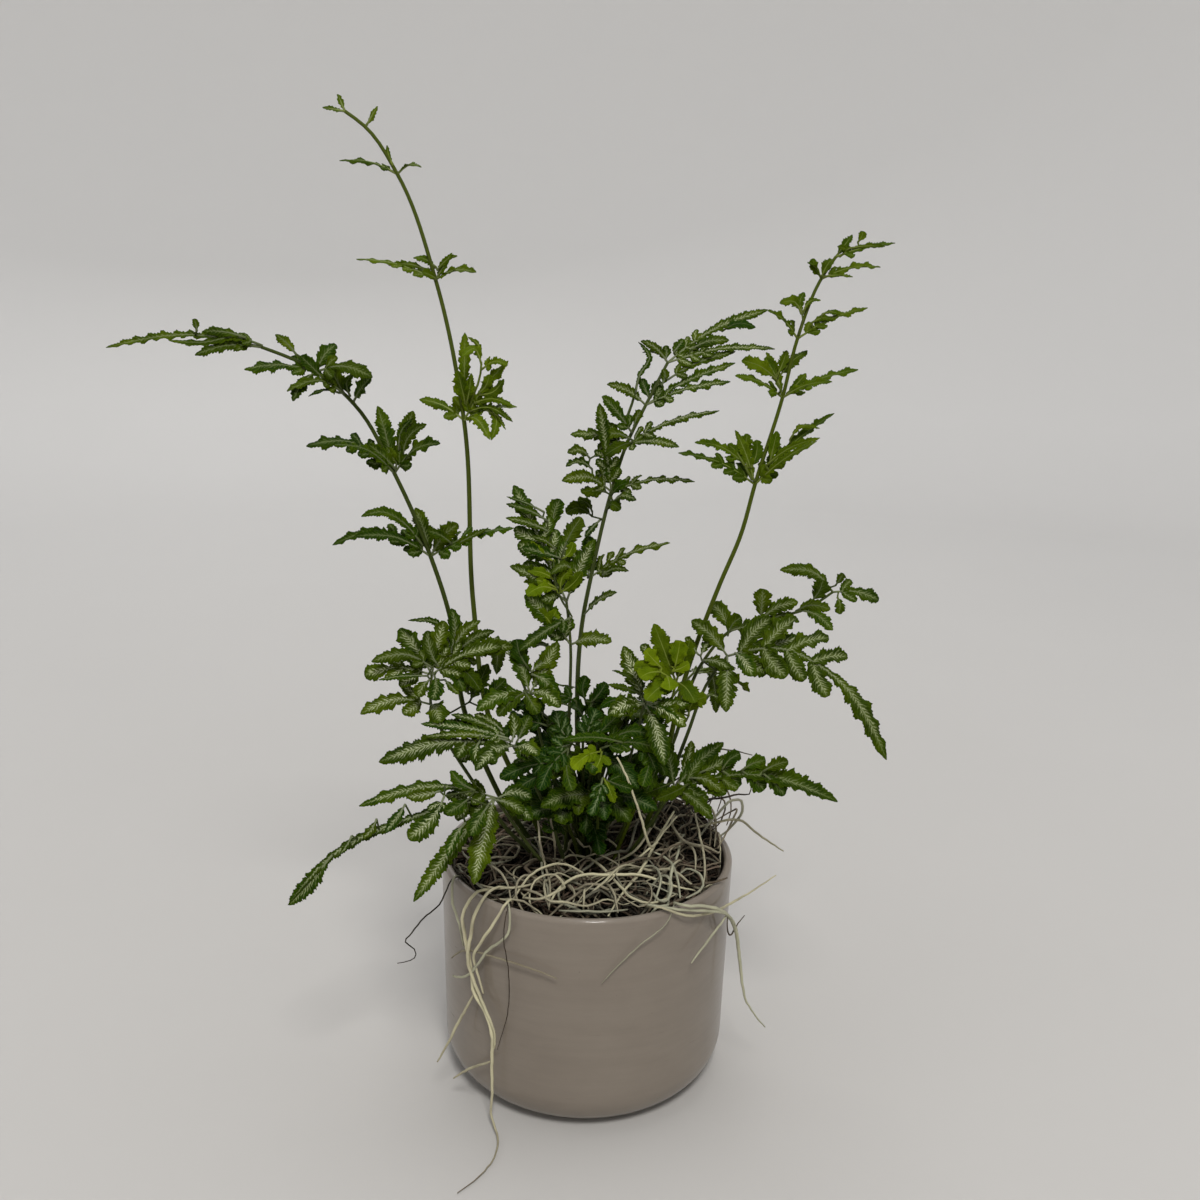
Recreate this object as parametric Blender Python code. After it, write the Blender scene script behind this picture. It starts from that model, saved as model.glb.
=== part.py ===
"""Potted silver lace fern: a glazed cylindrical pot filled with potting mix, a bed of
Spanish moss strands round the crown, and a fern whose fronds stand in plain holes in the mix.

Metres, +Z up. The origin is the centre of the pot's foot, on the surface that it stands on.
The front of the plant faces -Y. Lengths in the tables below are in millimetres.
"""

import math
import random

import bmesh
import bpy
from mathutils import Vector

MM = 0.001

# Pot
POT_HEIGHT = 102.0
POT_RIM_RADIUS = 65.0
POT_FOOT_WALL_RADIUS = 63.5
POT_WALL = 3.6
POT_FLOOR = 5.0
POT_FOOT_ROUNDING = 19.0
POT_INNER_ROUNDING = 8.0
POT_SIDES = 36

# Gap between pieces that rest on each other
GAP = 0.3

# Potting mix and the plain holes for the stems
MIX_TOP = 88.0
MIX_SIDES = 24
ROOT_DEPTH = 12.0
HOLE_SIDES = 6

# Moss bed: a ring with its hole round the crown of the fern
CROWN_X = 0.0
CROWN_Y = 3.0
CROWN_RADIUS = 26.5
MOSS_STEPS = 26
MOSS_STRANDS = 24
MOSS_STRAND_STEPS = 5
MOSS_STRAND_RADIUS = 1.1
MOSS_SEED = 11

# Fern
BLADE_THICKNESS = 0.72
RIB_HALF_WIDTH = 0.65
ROOT_HALF_WIDTH = 0.35
THIN_STEM = 1.15
STEM_RING_SPACING = 26.0
LOBE_ANGLE = math.radians(50.0)
TOOTH_LENGTH = 7.5


def clear_scene():
    """Remove whatever the file holds, so that the model starts empty."""
    for thing in list(bpy.data.objects):
        bpy.data.objects.remove(thing, do_unlink=True)


def new_material(name, colour, roughness, metallic=0.0):
    """Principled material with one plain colour."""
    material = bpy.data.materials.new(name)
    material.use_nodes = True
    shader = material.node_tree.nodes["Principled BSDF"]
    shader.inputs["Base Color"].default_value = (*colour, 1.0)
    shader.inputs["Roughness"].default_value = roughness
    shader.inputs["Metallic"].default_value = metallic
    material.diffuse_color = (*colour, 1.0)
    return material


def new_object(name, points, faces, material=None):
    """Mesh object from points in millimetres."""
    mesh = bpy.data.meshes.new(name)
    mesh.from_pydata([Vector(point) * MM for point in points], [], faces)
    mesh.validate()
    mesh.update()
    if material is not None:
        mesh.materials.append(material)
    thing = bpy.data.objects.new(name, mesh)
    bpy.context.scene.collection.objects.link(thing)
    return thing


def combine(base, others, operation, solver="EXACT"):
    """Join the other objects to the base, or cut them from it, in one Boolean, and remove them."""
    group = bpy.data.collections.new("operands")
    bpy.context.scene.collection.children.link(group)
    for other in others:
        group.objects.link(other)
    boolean = base.modifiers.new("combine", "BOOLEAN")
    boolean.operation = operation
    boolean.operand_type = "COLLECTION"
    boolean.collection = group
    boolean.solver = solver
    bpy.context.view_layer.update()
    evaluated = base.evaluated_get(bpy.context.evaluated_depsgraph_get())
    result = bpy.data.meshes.new_from_object(evaluated)
    base.modifiers.clear()
    base.data = result
    for other in others:
        bpy.data.objects.remove(other, do_unlink=True)
    bpy.data.collections.remove(group)
    keep_main_body(base)


def keep_main_body(thing):
    """Triangulate, and drop scraps that came loose and hollows that the union sealed."""
    work = bmesh.new()
    work.from_mesh(thing.data)
    between = [vertex for vertex in work.verts if len(vertex.link_edges) == 2]
    bmesh.ops.dissolve_verts(work, verts=between)
    bmesh.ops.triangulate(work, faces=work.faces[:])
    groups = []
    seen = set()
    for first in work.verts:
        if first in seen:
            continue
        group = [first]
        seen.add(first)
        for vertex in group:
            for edge in vertex.link_edges:
                neighbour = edge.other_vert(vertex)
                if neighbour not in seen:
                    seen.add(neighbour)
                    group.append(neighbour)
        groups.append(group)
    groups.sort(key=len, reverse=True)
    for group in groups[1:]:
        bmesh.ops.delete(work, geom=group, context="VERTS")
    work.to_mesh(thing.data)
    work.free()


class SmoothCurve:
    """Smooth curve through its points, with the distance along the chords as parameter."""

    def __init__(self, points):
        self.points = [Vector(point) for point in points]
        self.knots = [0.0]
        for first, second in zip(self.points, self.points[1:]):
            self.knots.append(self.knots[-1] + (second - first).length)
        self.length = self.knots[-1]
        self.slopes = self.find_slopes()

    def find_slopes(self):
        """Slope at each point, from the parabola through it and its two neighbours."""
        steps = []
        rates = []
        for index in range(len(self.points) - 1):
            step = self.knots[index + 1] - self.knots[index]
            steps.append(step)
            rates.append((self.points[index + 1] - self.points[index]) / step)
        slopes = [rates[0]]
        for index in range(1, len(rates)):
            before = steps[index - 1]
            after = steps[index]
            slopes.append((rates[index - 1] * after + rates[index] * before) / (before + after))
        slopes.append(rates[-1])
        if len(rates) > 1:
            slopes[0] = rates[0] * 1.5 - slopes[1] * 0.5
            slopes[-1] = rates[-1] * 1.5 - slopes[-2] * 0.5
        return slopes

    def at(self, distance):
        """Point at a distance along the curve."""
        distance = min(max(distance, 0.0), self.length)
        index = 0
        while index < len(self.points) - 2 and distance > self.knots[index + 1]:
            index += 1
        step = self.knots[index + 1] - self.knots[index]
        x = (distance - self.knots[index]) / step
        start = self.points[index] * (2 * x**3 - 3 * x**2 + 1)
        start += self.slopes[index] * (step * (x**3 - 2 * x**2 + x))
        end = self.points[index + 1] * (3 * x**2 - 2 * x**3)
        end += self.slopes[index + 1] * (step * (x**3 - x**2))
        return start + end

    def heading(self, distance):
        """Unit direction at a distance along the curve."""
        reach = self.length * 0.01
        return (self.at(distance + reach) - self.at(distance - reach)).normalized()


def lathe(profile, sides):
    """Closed body turned round the Z axis; the profile runs from axis to axis, foot first."""
    points = []
    rows = []
    for radius, height in profile:
        if radius < 1e-6:
            rows.append([len(points)])
            points.append((0.0, 0.0, height))
            continue
        row = []
        for step in range(sides):
            angle = 2.0 * math.pi * step / sides
            row.append(len(points))
            points.append((radius * math.cos(angle), radius * math.sin(angle), height))
        rows.append(row)
    faces = []
    for lower, upper in zip(rows, rows[1:]):
        for step in range(sides):
            after = (step + 1) % sides
            if len(lower) == 1:
                faces.append((lower[0], upper[after], upper[step]))
            elif len(upper) == 1:
                faces.append((lower[step], lower[after], upper[0]))
            else:
                faces.append((lower[step], lower[after], upper[after], upper[step]))
    return points, faces


def arc(centre, radius, start, end, steps):
    """Points of an arc in the profile plane, angles in degrees."""
    points = []
    for step in range(steps + 1):
        angle = math.radians(start + (end - start) * step / steps)
        points.append((centre[0] + radius * math.cos(angle), centre[1] + radius * math.sin(angle)))
    return points


def wall_radius(height):
    """Outer radius of the pot wall, which leans out a little towards the rim."""
    share = (height - POT_FOOT_ROUNDING) / (POT_HEIGHT - POT_FOOT_ROUNDING)
    return POT_FOOT_WALL_RADIUS + (POT_RIM_RADIUS - POT_FOOT_WALL_RADIUS) * share


def inner_radius(height):
    """Inner radius of the pot wall."""
    return wall_radius(max(height, POT_FOOT_ROUNDING)) - POT_WALL


def tube(points, radii, sides):
    """Closed tube along a list of points, with flat ends."""
    path = [Vector(point) for point in points]
    heading = (path[1] - path[0]).normalized()
    across = heading.orthogonal().normalized()
    ring_points = []
    for index, centre in enumerate(path):
        before = path[max(index - 1, 0)]
        after = path[min(index + 1, len(path) - 1)]
        heading = (after - before).normalized()
        across = (across - heading * across.dot(heading)).normalized()
        up = heading.cross(across)
        for side in range(sides):
            angle = 2.0 * math.pi * side / sides
            offset = across * math.cos(angle) + up * math.sin(angle)
            ring_points.append(centre + offset * radii[index])
    faces = []
    for ring in range(len(path) - 1):
        for side in range(sides):
            after = (side + 1) % sides
            low = ring * sides
            high = low + sides
            faces.append((low + side, low + after, high + after, high + side))
    faces.append(tuple(reversed(range(sides))))
    last = (len(path) - 1) * sides
    faces.append(tuple(range(last, last + sides)))
    return ring_points, faces


def leaf(tip, width, pairs=0, side=0.0, face=45.0, arch=2.0, via=()):
    """Leaflet from its node to its tip. The blade is 2 x width across, with so many pairs of
    side lobes of length side below it. face turns it from up (0) to the front (90), and arch
    lifts its middle."""
    return {"tip": tip, "width": width, "pairs": pairs, "side": side, "face": face, "arch": arch, "via": via}


def node(x, y, z, *leaves):
    """Point on a frond's stem, and the leaflets that grow from it."""
    return {"point": (x, y, z), "leaves": leaves}


def frond(name, root, radius, *nodes):
    """Frond whose stem rises straight out of the mix at its root, then runs through its nodes."""
    start = node(root[0], root[1], MIX_TOP - ROOT_DEPTH)
    collar = node(root[0], root[1], MIX_TOP + 4.0)
    return {"name": name, "root": root, "radius": radius, "nodes": (start, collar, *nodes)}


FRONDS = (
    frond("frond_tall_left", (-19, 11), 1.3,
          node(-32, 8, 128), node(-45, 3, 164), node(-51, 0, 215),
          node(-54, -5, 293,
               leaf((-72, -5, 301), 3.0, 1, 6, 55),
               leaf((-53, -9, 328), 2.8, 2, 7, 72),
               leaf((-35, -20, 318), 2.6, 2, 7, 65),
               leaf((-31, -28, 301), 2.6, 2, 6, 40),
               leaf((-41, -34, 289), 3.0, 0, 0, 40, 4)),
          node(-64, -12, 348,
               leaf((-95, -10, 355), 2.6, 3, 6, 20),
               leaf((-57, -16, 358), 1.8, 0, 0, 60, 0),
               leaf((-47, -24, 351), 2.6, 1, 5, 25)),
          node(-77, -19, 386,
               leaf((-98, -22, 390), 2.0, 1, 4, 20),
               leaf((-67, -26, 388), 2.0, 0, 0, 20)),
          node(-88, -22, 402,
               leaf((-83, -24, 409), 1.2, 0, 0, 60, 0)),
          node(-95, -24, 407,
               leaf((-103, -25, 408), 1.2, 0, 0, 60, 0),
               leaf((-98, -22, 413), 1.4, 0, 0, 70, 0))),
    frond("frond_arching_left", (-22, 3), 1.3,
          node(-40, -4, 130), node(-54, -10, 170), node(-60, -12, 214),
          node(-67, -14, 238,
               leaf((-108, -10, 241), 3.2, 3, 8, 30, 8),
               leaf((-95, -30, 249), 3.0, 1, 7, 40, 4),
               leaf((-73, -13, 258), 4.5, 0, 0, 65),
               leaf((-32, -26, 253), 3.2, 3, 8, 35, 3),
               leaf((-55, -20, 253), 4.5, 0, 0, 65)),
          node(-80, -21, 273,
               leaf((-113, -28, 284), 3.4, 3, 8, 40, 7),
               leaf((-98, -46, 287), 3.0, 1, 7, 40, 4),
               leaf((-87, -16, 299), 4.5, 0, 0, 70),
               leaf((-72, -22, 298), 4.4, 1, 7, 60),
               leaf((-60, -34, 287), 3.6, 1, 8, 45, 4)),
          node(-93, -26, 299),
          node(-107, -32, 313,
               leaf((-84, -42, 312), 3.6, 1, 7, 50, 3),
               leaf((-100, -28, 323), 3.6, 0, 0, 65),
               leaf((-113, -46, 303), 3.4, 0, 0, 45),
               leaf((-131, -44, 314), 3.8, 1, 7, 45)),
          node(-126, -38, 322,
               leaf((-148, -47, 319), 3.0, 0, 0, 45),
               leaf((-180, -48, 321), 2.2, 3, 6, 50, 0, ((-150, -43, 326),)))),
    frond("frond_tall_right", (22, 8), 1.3,
          node(32, 5, 130), node(40, 2, 179), node(54, 0, 226), node(62, 2, 247),
          node(67, 4, 268,
               leaf((34, 0, 281), 3.0, 3, 8, 35, 3),
               leaf((58, 8, 290), 3.0, 0, 0, 65),
               leaf((99, 8, 298), 3.0, 3, 7, 35, 3),
               leaf((88, -16, 289), 2.6, 1, 6, 45)),
          node(77, 8, 304,
               leaf((56, 0, 313), 2.8, 1, 6, 35),
               leaf((70, 14, 322), 2.6, 0, 0, 65),
               leaf((108, 10, 316), 2.8, 2, 6, 30),
               leaf((94, -8, 312), 2.4, 0, 0, 45)),
          node(82, 10, 328,
               leaf((68, 2, 339), 2.6, 1, 5, 40),
               leaf((110, 10, 341), 2.6, 2, 6, 30)),
          node(91, 15, 352,
               leaf((84, 8, 358), 2.4, 0, 0, 40),
               leaf((113, 6, 357), 2.4, 1, 5, 35)),
          node(97, 18, 361,
               leaf((104, 22, 370), 2.2, 0, 0, 60, 0),
               leaf((121, 18, 367), 2.2, 1, 5, 40, 1))),
    frond("frond_centre_tall", (2, 15), 1.3,
          node(-4, 14, 130), node(-6, 12, 166),
          node(-4, 13, 207,
               leaf((10, -8, 223), 2.4, 0, 0, 40)),
          node(-1, 15, 224,
               leaf((32, 0, 243), 3.0, 3, 7, 40, 3),
               leaf((-17, 24, 238), 3.4, 1, 8, 50)),
          node(7, 20, 261,
               leaf((42, 8, 268), 2.8, 2, 7, 35, 3),
               leaf((-14, 2, 268), 3.6, 1, 9, 60, 4),
               leaf((1, 8, 300), 3.8, 3, 8, 72, 1)),
          node(13, 23, 281,
               leaf((51, 8, 298), 2.8, 2, 7, 40, 3),
               leaf((34, -4, 284), 2.6, 1, 6, 50),
               leaf((-11, 14, 286), 3.4, 1, 8, 60, 2)),
          node(21, 26, 298,
               leaf((4, 20, 307), 3.0, 0, 0, 60),
               leaf((55, 8, 310), 2.8, 2, 7, 40),
               leaf((58, 20, 317), 2.8, 1, 7, 45)),
          node(30, 30, 316,
               leaf((18, 26, 325), 2.4, 0, 0, 60),
               leaf((75, 24, 323), 2.8, 3, 7, 45, 3),
               leaf((73, 38, 339), 2.8, 3, 7, 45, 0, ((49, 34, 330),)))),
    frond("frond_centre_left", (-9, 8), 1.1,
          node(-10, 2, 130), node(-9, -6, 176),
          node(-9, -9, 200,
               leaf((-28, -20, 224), 5.0, 1, 8, 60),
               leaf((8, -24, 206), 4.4, 0, 0, 50)),
          node(-11, -10, 219,
               leaf((-34, 0, 266), 4.4, 4, 13, 70, 3, ((-22, -6, 243),)),
               leaf((-34, -20, 236), 3.6, 1, 8, 50),
               leaf((0, -12, 246), 4.0, 0, 0, 70))),
    frond("frond_upper_right", (16, 14), 1.1,
          node(26, 14, 115), node(38, 12, 150), node(49, 9, 188),
          node(60, 7, 203,
               leaf((84, -8, 204), 5.6, 0, 0, 50, 4),
               leaf((52, 12, 214), 4.0, 0, 0, 65)),
          node(73, 6, 209,
               leaf((73, 4, 223), 4.6, 0, 0, 75, 0),
               leaf((88, 2, 218), 3.6, 0, 0, 60)),
          node(91, 7, 213,
               leaf((102, -6, 208), 3.6, 0, 0, 45)),
          node(104, 9, 221,
               leaf((80, 6, 231), 3.4, 0, 0, 50, 1, ((96, 9, 229),)),
               leaf((124, 8, 218), 3.4, 1, 7, 50))),
    frond("frond_silver_right", (20, 0), 1.2,
          node(30, -4, 120), node(42, -8, 160), node(50, -11, 186),
          node(57, -14, 198,
               leaf((117, -54, 169), 4.4, 4, 17, 50, 0, ((80, -31, 206), (100, -43, 196))),
               leaf((55, -36, 181), 4.6, 0, 0, 45, 3),
               leaf((42, -6, 211), 4.0, 0, 0, 60))),
    frond("frond_lower_right", (15, -7), 1.1,
          node(26, -12, 118),
          node(37, -15, 138,
               leaf((58, -8, 157), 4.8, 0, 0, 60),
               leaf((32, -5, 158), 3.8, 0, 0, 60),
               leaf((104, -32, 141), 4.4, 3, 11, 50, 0, ((72, -24, 149),)),
               leaf((52, -34, 133), 4.0, 0, 0, 45))),
    frond("frond_left_cluster", (-19, -6), 1.1,
          node(-36, -14, 118), node(-50, -19, 142), node(-62, -24, 166),
          node(-66, -26, 178,
               leaf((-92, -42, 179), 4.4, 1, 10, 40, 4),
               leaf((-60, -42, 176), 4.4, 0, 0, 45)),
          node(-65.4, -26.3, 191,
               leaf((-92, -32, 192), 4.2, 2, 10, 45, 3),
               leaf((-78, -28, 211), 4.4, 1, 8, 68),
               leaf((-60, -26, 214), 4.0, 1, 8, 69),
               leaf((-36, -34, 206), 4.2, 2, 9, 50, 3))),
    frond("frond_front_left", (-9, -11), 1.1,
          node(-15, -22, 122), node(-24, -34, 150),
          node(-31, -40, 166,
               leaf((-84, -48, 161), 4.8, 2, 12, 45, 5),
               leaf((-64, -38, 175), 3.2, 1, 8, 35, 2),
               leaf((-20, -60, 170), 4.4, 0, 0, 50),
               leaf((-44, -62, 164), 4.4, 0, 0, 50, 3))),
    frond("frond_lower_left", (-14, -15), 1.1,
          node(-24, -30, 116),
          node(-38, -44, 145,
               leaf((-91, -55, 145), 3.2, 2, 7, 25, 0, ((-60, -50, 152),)),
               leaf((-118, -66, 107), 3.4, 2, 9, 45, 0, ((-72, -58, 141), (-98, -62, 129))),
               leaf((-67, -74, 114), 4.2, 1, 11, 55, 2),
               leaf((-43, -78, 124), 5.4, 0, 0, 60, 3),
               leaf((-22, -58, 142), 4.2, 0, 0, 50))),
    frond("frond_young_right", (10, -12), 1.0,
          node(20, -18, 130), node(30, -24, 165),
          node(35, -26, 190,
               leaf((25, -27, 215), 4.6, 0, 0, 72, 0),
               leaf((17, -36, 199), 4.8, 0, 0, 60),
               leaf((22, -44, 188), 4.8, 0, 0, 55),
               leaf((42, -40, 186), 4.2, 0, 0, 60),
               leaf((40, -26, 208), 4.2, 0, 0, 70, 0))),
    frond("frond_silver_star", (3, -10), 1.0,
          node(9, -15, 122), node(17, -24, 155),
          node(22, -30, 182,
               leaf((30, -50, 163), 4.6, 0, 0, 62, 4),
               leaf((38, -46, 178), 4.2, 0, 0, 55),
               leaf((7, -42, 181), 4.0, 0, 0, 50),
               leaf((13, -26, 205), 4.2, 0, 0, 72, 0))),
    frond("frond_inner_left", (-10, -2), 1.0,
          node(-10, -12, 122), node(-20, -22, 160),
          node(-25, -27, 184,
               leaf((-46, -38, 180), 4.2, 0, 0, 45, 3),
               leaf((-12, -40, 183), 4.4, 0, 0, 50, 3),
               leaf((-14, -22, 205), 4.4, 0, 0, 68, 0),
               leaf((-32, -20, 204), 4.2, 0, 0, 68, 0))),
    frond("frond_back_left", (-12, 20), 1.1,
          node(-20, 36, 125),
          node(-30, 50, 156,
               leaf((-66, 52, 158), 3.8, 1, 10, -20, 4),
               leaf((-8, 66, 156), 3.8, 1, 9, -25, 3)),
          node(-40, 66, 172,
               leaf((-66, 82, 166), 3.8, 1, 9, -35, 4),
               leaf((-22, 88, 170), 3.6, 1, 8, -35, 3),
               leaf((-50, 108, 148), 4.0, 3, 9, -40, 0, ((-46, 88, 172),)))),
    frond("frond_back_right", (12, 20), 1.1,
          node(24, 34, 125),
          node(36, 46, 154,
               leaf((66, 40, 160), 3.8, 1, 9, -15, 4),
               leaf((24, 66, 150), 3.8, 1, 9, -30, 3)),
          node(50, 62, 166,
               leaf((78, 64, 156), 3.8, 1, 9, -25, 4),
               leaf((66, 100, 132), 4.0, 3, 9, -40, 0, ((60, 82, 160),)))),
)

# Short inner fronds, which grow tangled from the rhizome and are one body with it
RHIZOME_RADIUS = 6.5
RHIZOME_TOP = MIX_TOP + 4.0
INNER_STEMS = (
    (node(-1, -3, 112),
     node(-2, -16, 136,
          leaf((-16, -36, 134), 5.0, 0, 0, 55, 4),
          leaf((14, -38, 138), 5.2, 0, 0, 55, 4),
          leaf((-4, -48, 128), 5.4, 0, 0, 60, 4))),
    (node(-2, 2, 125),
     node(-3, -6, 166,
          leaf((-8, -26, 178), 4.8, 0, 0, 60),
          leaf((8, -8, 180), 4.6, 0, 0, 60))),
    (node(3, 3, 120),
     node(12, 10, 158,
          leaf((30, 22, 166), 4.6, 0, 0, 10),
          leaf((12, 34, 162), 4.6, 0, 0, -30, 3),
          leaf((26, -4, 168), 4.6, 0, 0, 40))),
    (node(2, -6, 115),
     node(3, -20, 154,
          leaf((-16, -48, 156), 5.4, 0, 0, 55, 3),
          leaf((20, -48, 152), 5.4, 0, 0, 55, 3),
          leaf((1, -52, 160), 5.0, 0, 0, 60, 3),
          leaf((4, -26, 178), 4.8, 0, 0, 75, 0))),
    (node(3, -14, 108),
     node(4, -26, 138,
          leaf((28, -46, 142), 5.2, 0, 0, 50, 3),
          leaf((-19, -50, 144), 5.2, 0, 0, 50, 3),
          leaf((7, -57, 142), 5.0, 0, 0, 60, 3),
          leaf((22, -48, 125), 5.2, 0, 0, 60, 3))),
    (node(-5, -12, 108),
     node(-10, -26, 130,
          leaf((-24, -51, 124), 5.0, 0, 0, 60, 3),
          leaf((-10, -54, 120), 5.2, 0, 0, 60, 3))),
    (node(-3, 4, 118),
     node(-12, 18, 150,
          leaf((-34, 16, 156), 4.8, 0, 0, 20, 3),
          leaf((-14, 40, 152), 4.6, 0, 0, -30, 3))),
)


def lobe_layout(shape, length):
    """Where the side lobes start along the leaflet, and how far apart they are."""
    first = min(3.5, 0.12 * length)
    pairs = shape["pairs"]
    if pairs == 0:
        return first, 0.0
    spacing = min(0.62 * shape["side"] + 0.8, (0.62 * length - first) / pairs)
    return first, spacing


def leaf_curve(start, shape):
    """Curve of the midrib, with its middle lifted by the arch."""
    points = [Vector(start), *[Vector(point) for point in shape["via"]], Vector(shape["tip"])]
    if not shape["via"]:
        middle = (points[0] + points[-1]) * 0.5
        middle.z += shape["arch"]
        points.insert(1, middle)
    return SmoothCurve(points)


def blade_profile(share):
    """Half width of the blade at a share of its length, from 0 to 1."""
    return math.sin(math.pi * share**0.8) ** 0.75


def leaf_blade(start, shape):
    """Closed plate in the outline of the leaflet, with its lobes cut to the rib."""
    curve = leaf_curve(start, shape)
    length = curve.length
    face = math.radians(shape["face"])
    facing = Vector((0.0, -math.sin(face), math.cos(face)))
    first, spacing = lobe_layout(shape, length)
    pairs = shape["pairs"]
    points = []
    normals = []
    top = []

    def add(distance, across, forward=0.0, lift=0.0):
        """Add one point of the plate's middle surface and return its index."""
        heading = curve.heading(distance)
        normal = (facing - heading * facing.dot(heading)).normalized()
        out = heading.cross(normal)
        drop = 0.012 * across * across
        point = curve.at(distance) + out * across + heading * forward + normal * (lift - drop)
        points.append(point)
        normals.append(normal)
        return len(points) - 1

    def strip(lower, upper):
        """Two triangles between two rows of the rib or the blade."""
        top.append((lower[0], lower[1], upper[1]))
        top.append((lower[0], upper[1], upper[0]))

    row = (add(0.0, -ROOT_HALF_WIDTH), add(0.0, ROOT_HALF_WIDTH))
    following = (add(first, -RIB_HALF_WIDTH), add(first, RIB_HALF_WIDTH))
    strip(row, following)
    row = following
    for pair in range(pairs):
        low = first + pair * spacing
        high = low + spacing
        reach = shape["side"] * (1.0 - 0.3 * pair / pairs)
        following = (add(high, -RIB_HALF_WIDTH), add(high, RIB_HALF_WIDTH))
        strip(row, following)
        for hand in (-1, 1):
            side = (hand + 1) // 2
            front_out = hand * (RIB_HALF_WIDTH + reach * math.sin(LOBE_ANGLE))
            front = add(low + 0.6 * spacing, front_out, reach * math.cos(LOBE_ANGLE), -0.3)
            corners = [row[side], front, following[side]]
            if shape["side"] > TOOTH_LENGTH:
                rear_out = hand * (RIB_HALF_WIDTH + 0.78 * reach * math.sin(LOBE_ANGLE))
                corners.insert(1, add(low + 0.3 * spacing, rear_out, 0.7 * reach * math.cos(LOBE_ANGLE), 0.4))
            if hand < 0:
                corners.reverse()
            for second, third in zip(corners[1:], corners[2:]):
                top.append((corners[0], second, third))
        row = following
    blade_start = first + pairs * spacing
    blade_length = length - blade_start
    stations = max(2, min(6, round(blade_length / 8.6)))
    for station in range(1, stations + 1):
        share = station / (stations + 1)
        half = shape["width"] * blade_profile(share)
        wave = 0.16 * (-1) ** station
        distance = blade_start + blade_length * share
        left = add(distance, -half * (1.0 + wave), 0.0, 0.35)
        right = add(distance, half * (1.0 - wave), 0.0, -0.25)
        following = (left, right)
        strip(row, following)
        row = following
    tip = add(length, 0.0)
    top.append((row[0], row[1], tip))
    return plate(points, normals, top)


def plate(points, normals, top):
    """Closed plate of even thickness from its middle surface."""
    count = len(points)
    half = BLADE_THICKNESS / 2.0
    solid = [point + normal * half for point, normal in zip(points, normals)]
    solid += [point - normal * half for point, normal in zip(points, normals)]
    faces = list(top)
    faces += [(c + count, b + count, a + count) for a, b, c in top]
    edges = set()
    for a, b, c in top:
        edges.update(((a, b), (b, c), (c, a)))
    for a, b in sorted(edges):
        if (b, a) not in edges:
            faces.append((b, a, a + count))
            faces.append((b, a + count, b + count))
    return solid, faces


def stem_tube(nodes, radius):
    """Stem through its nodes, thinner towards its end."""
    curve = SmoothCurve([each["point"] for each in nodes])
    distances = [0.0]
    for low, high in zip(curve.knots, curve.knots[1:]):
        steps = max(1, round((high - low) / STEM_RING_SPACING))
        distances += [low + (high - low) * step / steps for step in range(1, steps + 1)]
    points = [curve.at(distance) for distance in distances]
    radii = [radius * (1.0 - 0.5 * distance / curve.length) for distance in distances]
    return tube(points, radii, 5 if radius > THIN_STEM else 4)


def grow(name, nodes, radius):
    """Stem and blades of one frond, as loose objects."""
    points, faces = stem_tube(nodes, radius)
    pieces = [new_object(name, points, faces)]
    for each in nodes:
        for index, shape in enumerate(each["leaves"]):
            points, faces = leaf_blade(each["point"], shape)
            pieces.append(new_object(f"{name}_leaf_{index}", points, faces))
    return pieces


def make_frond(shape, material):
    """One frond as one fused body."""
    pieces = grow(shape["name"], shape["nodes"], shape["radius"])
    pieces[0].data.materials.append(material)
    combine(pieces[0], pieces[1:], "UNION", "MANIFOLD")
    return pieces[0]


def make_crown(material):
    """Rhizome with the short inner fronds that are tangled over it."""
    foot = MIX_TOP - ROOT_DEPTH
    profile = [(0.0, foot), (RHIZOME_RADIUS * 0.8, foot), (RHIZOME_RADIUS, foot + 4.0),
               (RHIZOME_RADIUS, RHIZOME_TOP - 3.0), (RHIZOME_RADIUS * 0.6, RHIZOME_TOP),
               (0.0, RHIZOME_TOP + 1.0)]
    points, faces = lathe(profile, 9)
    crown = new_object("fern_crown", points, faces, material)
    pieces = []
    for index, stem in enumerate(INNER_STEMS):
        angle = 2.0 * math.pi * index / len(INNER_STEMS)
        start = node(3.0 * math.cos(angle), 3.0 * math.sin(angle), RHIZOME_TOP - 4.0)
        pieces += grow(f"inner_{index}", (start, *stem), 1.0)
    combine(crown, pieces, "UNION", "MANIFOLD")
    return crown


def make_pot(material):
    """Plain round pot with a rounded foot edge and a thin rounded rim."""
    rim = POT_WALL / 2.0
    foot = POT_FOOT_ROUNDING
    low = POT_FLOOR + POT_INNER_ROUNDING
    lower_wall = POT_FOOT_WALL_RADIUS
    inner_low = inner_radius(low)
    profile = [(0.0, 0.0)]
    profile += arc((lower_wall - foot, foot), foot, -90.0, 0.0, 5)
    profile += arc((POT_RIM_RADIUS - rim, POT_HEIGHT - rim), rim, 0.0, 180.0, 4)
    profile += arc((inner_low - POT_INNER_ROUNDING, low), POT_INNER_ROUNDING, 0.0, -90.0, 3)
    profile += [(0.0, POT_FLOOR)]
    points, faces = lathe(profile, POT_SIDES)
    return new_object("pot", points, faces, material)


def stem_holes():
    """Cutters for the plain holes that the stems stand in."""
    bottom = MIX_TOP - ROOT_DEPTH - GAP
    top = MIX_TOP + 5.0
    spots = [(shape["root"], shape["radius"] + 0.6) for shape in FRONDS]
    spots.append(((0.0, 0.0), RHIZOME_RADIUS + 0.7))
    cutters = []
    for (x, y), radius in spots:
        sides = HOLE_SIDES if radius < 3.0 else 2 * HOLE_SIDES
        points, faces = tube([(x, y, bottom), (x, y, top)], (radius, radius), sides)
        cutters.append(new_object("hole", points, faces))
    return cutters


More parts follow.
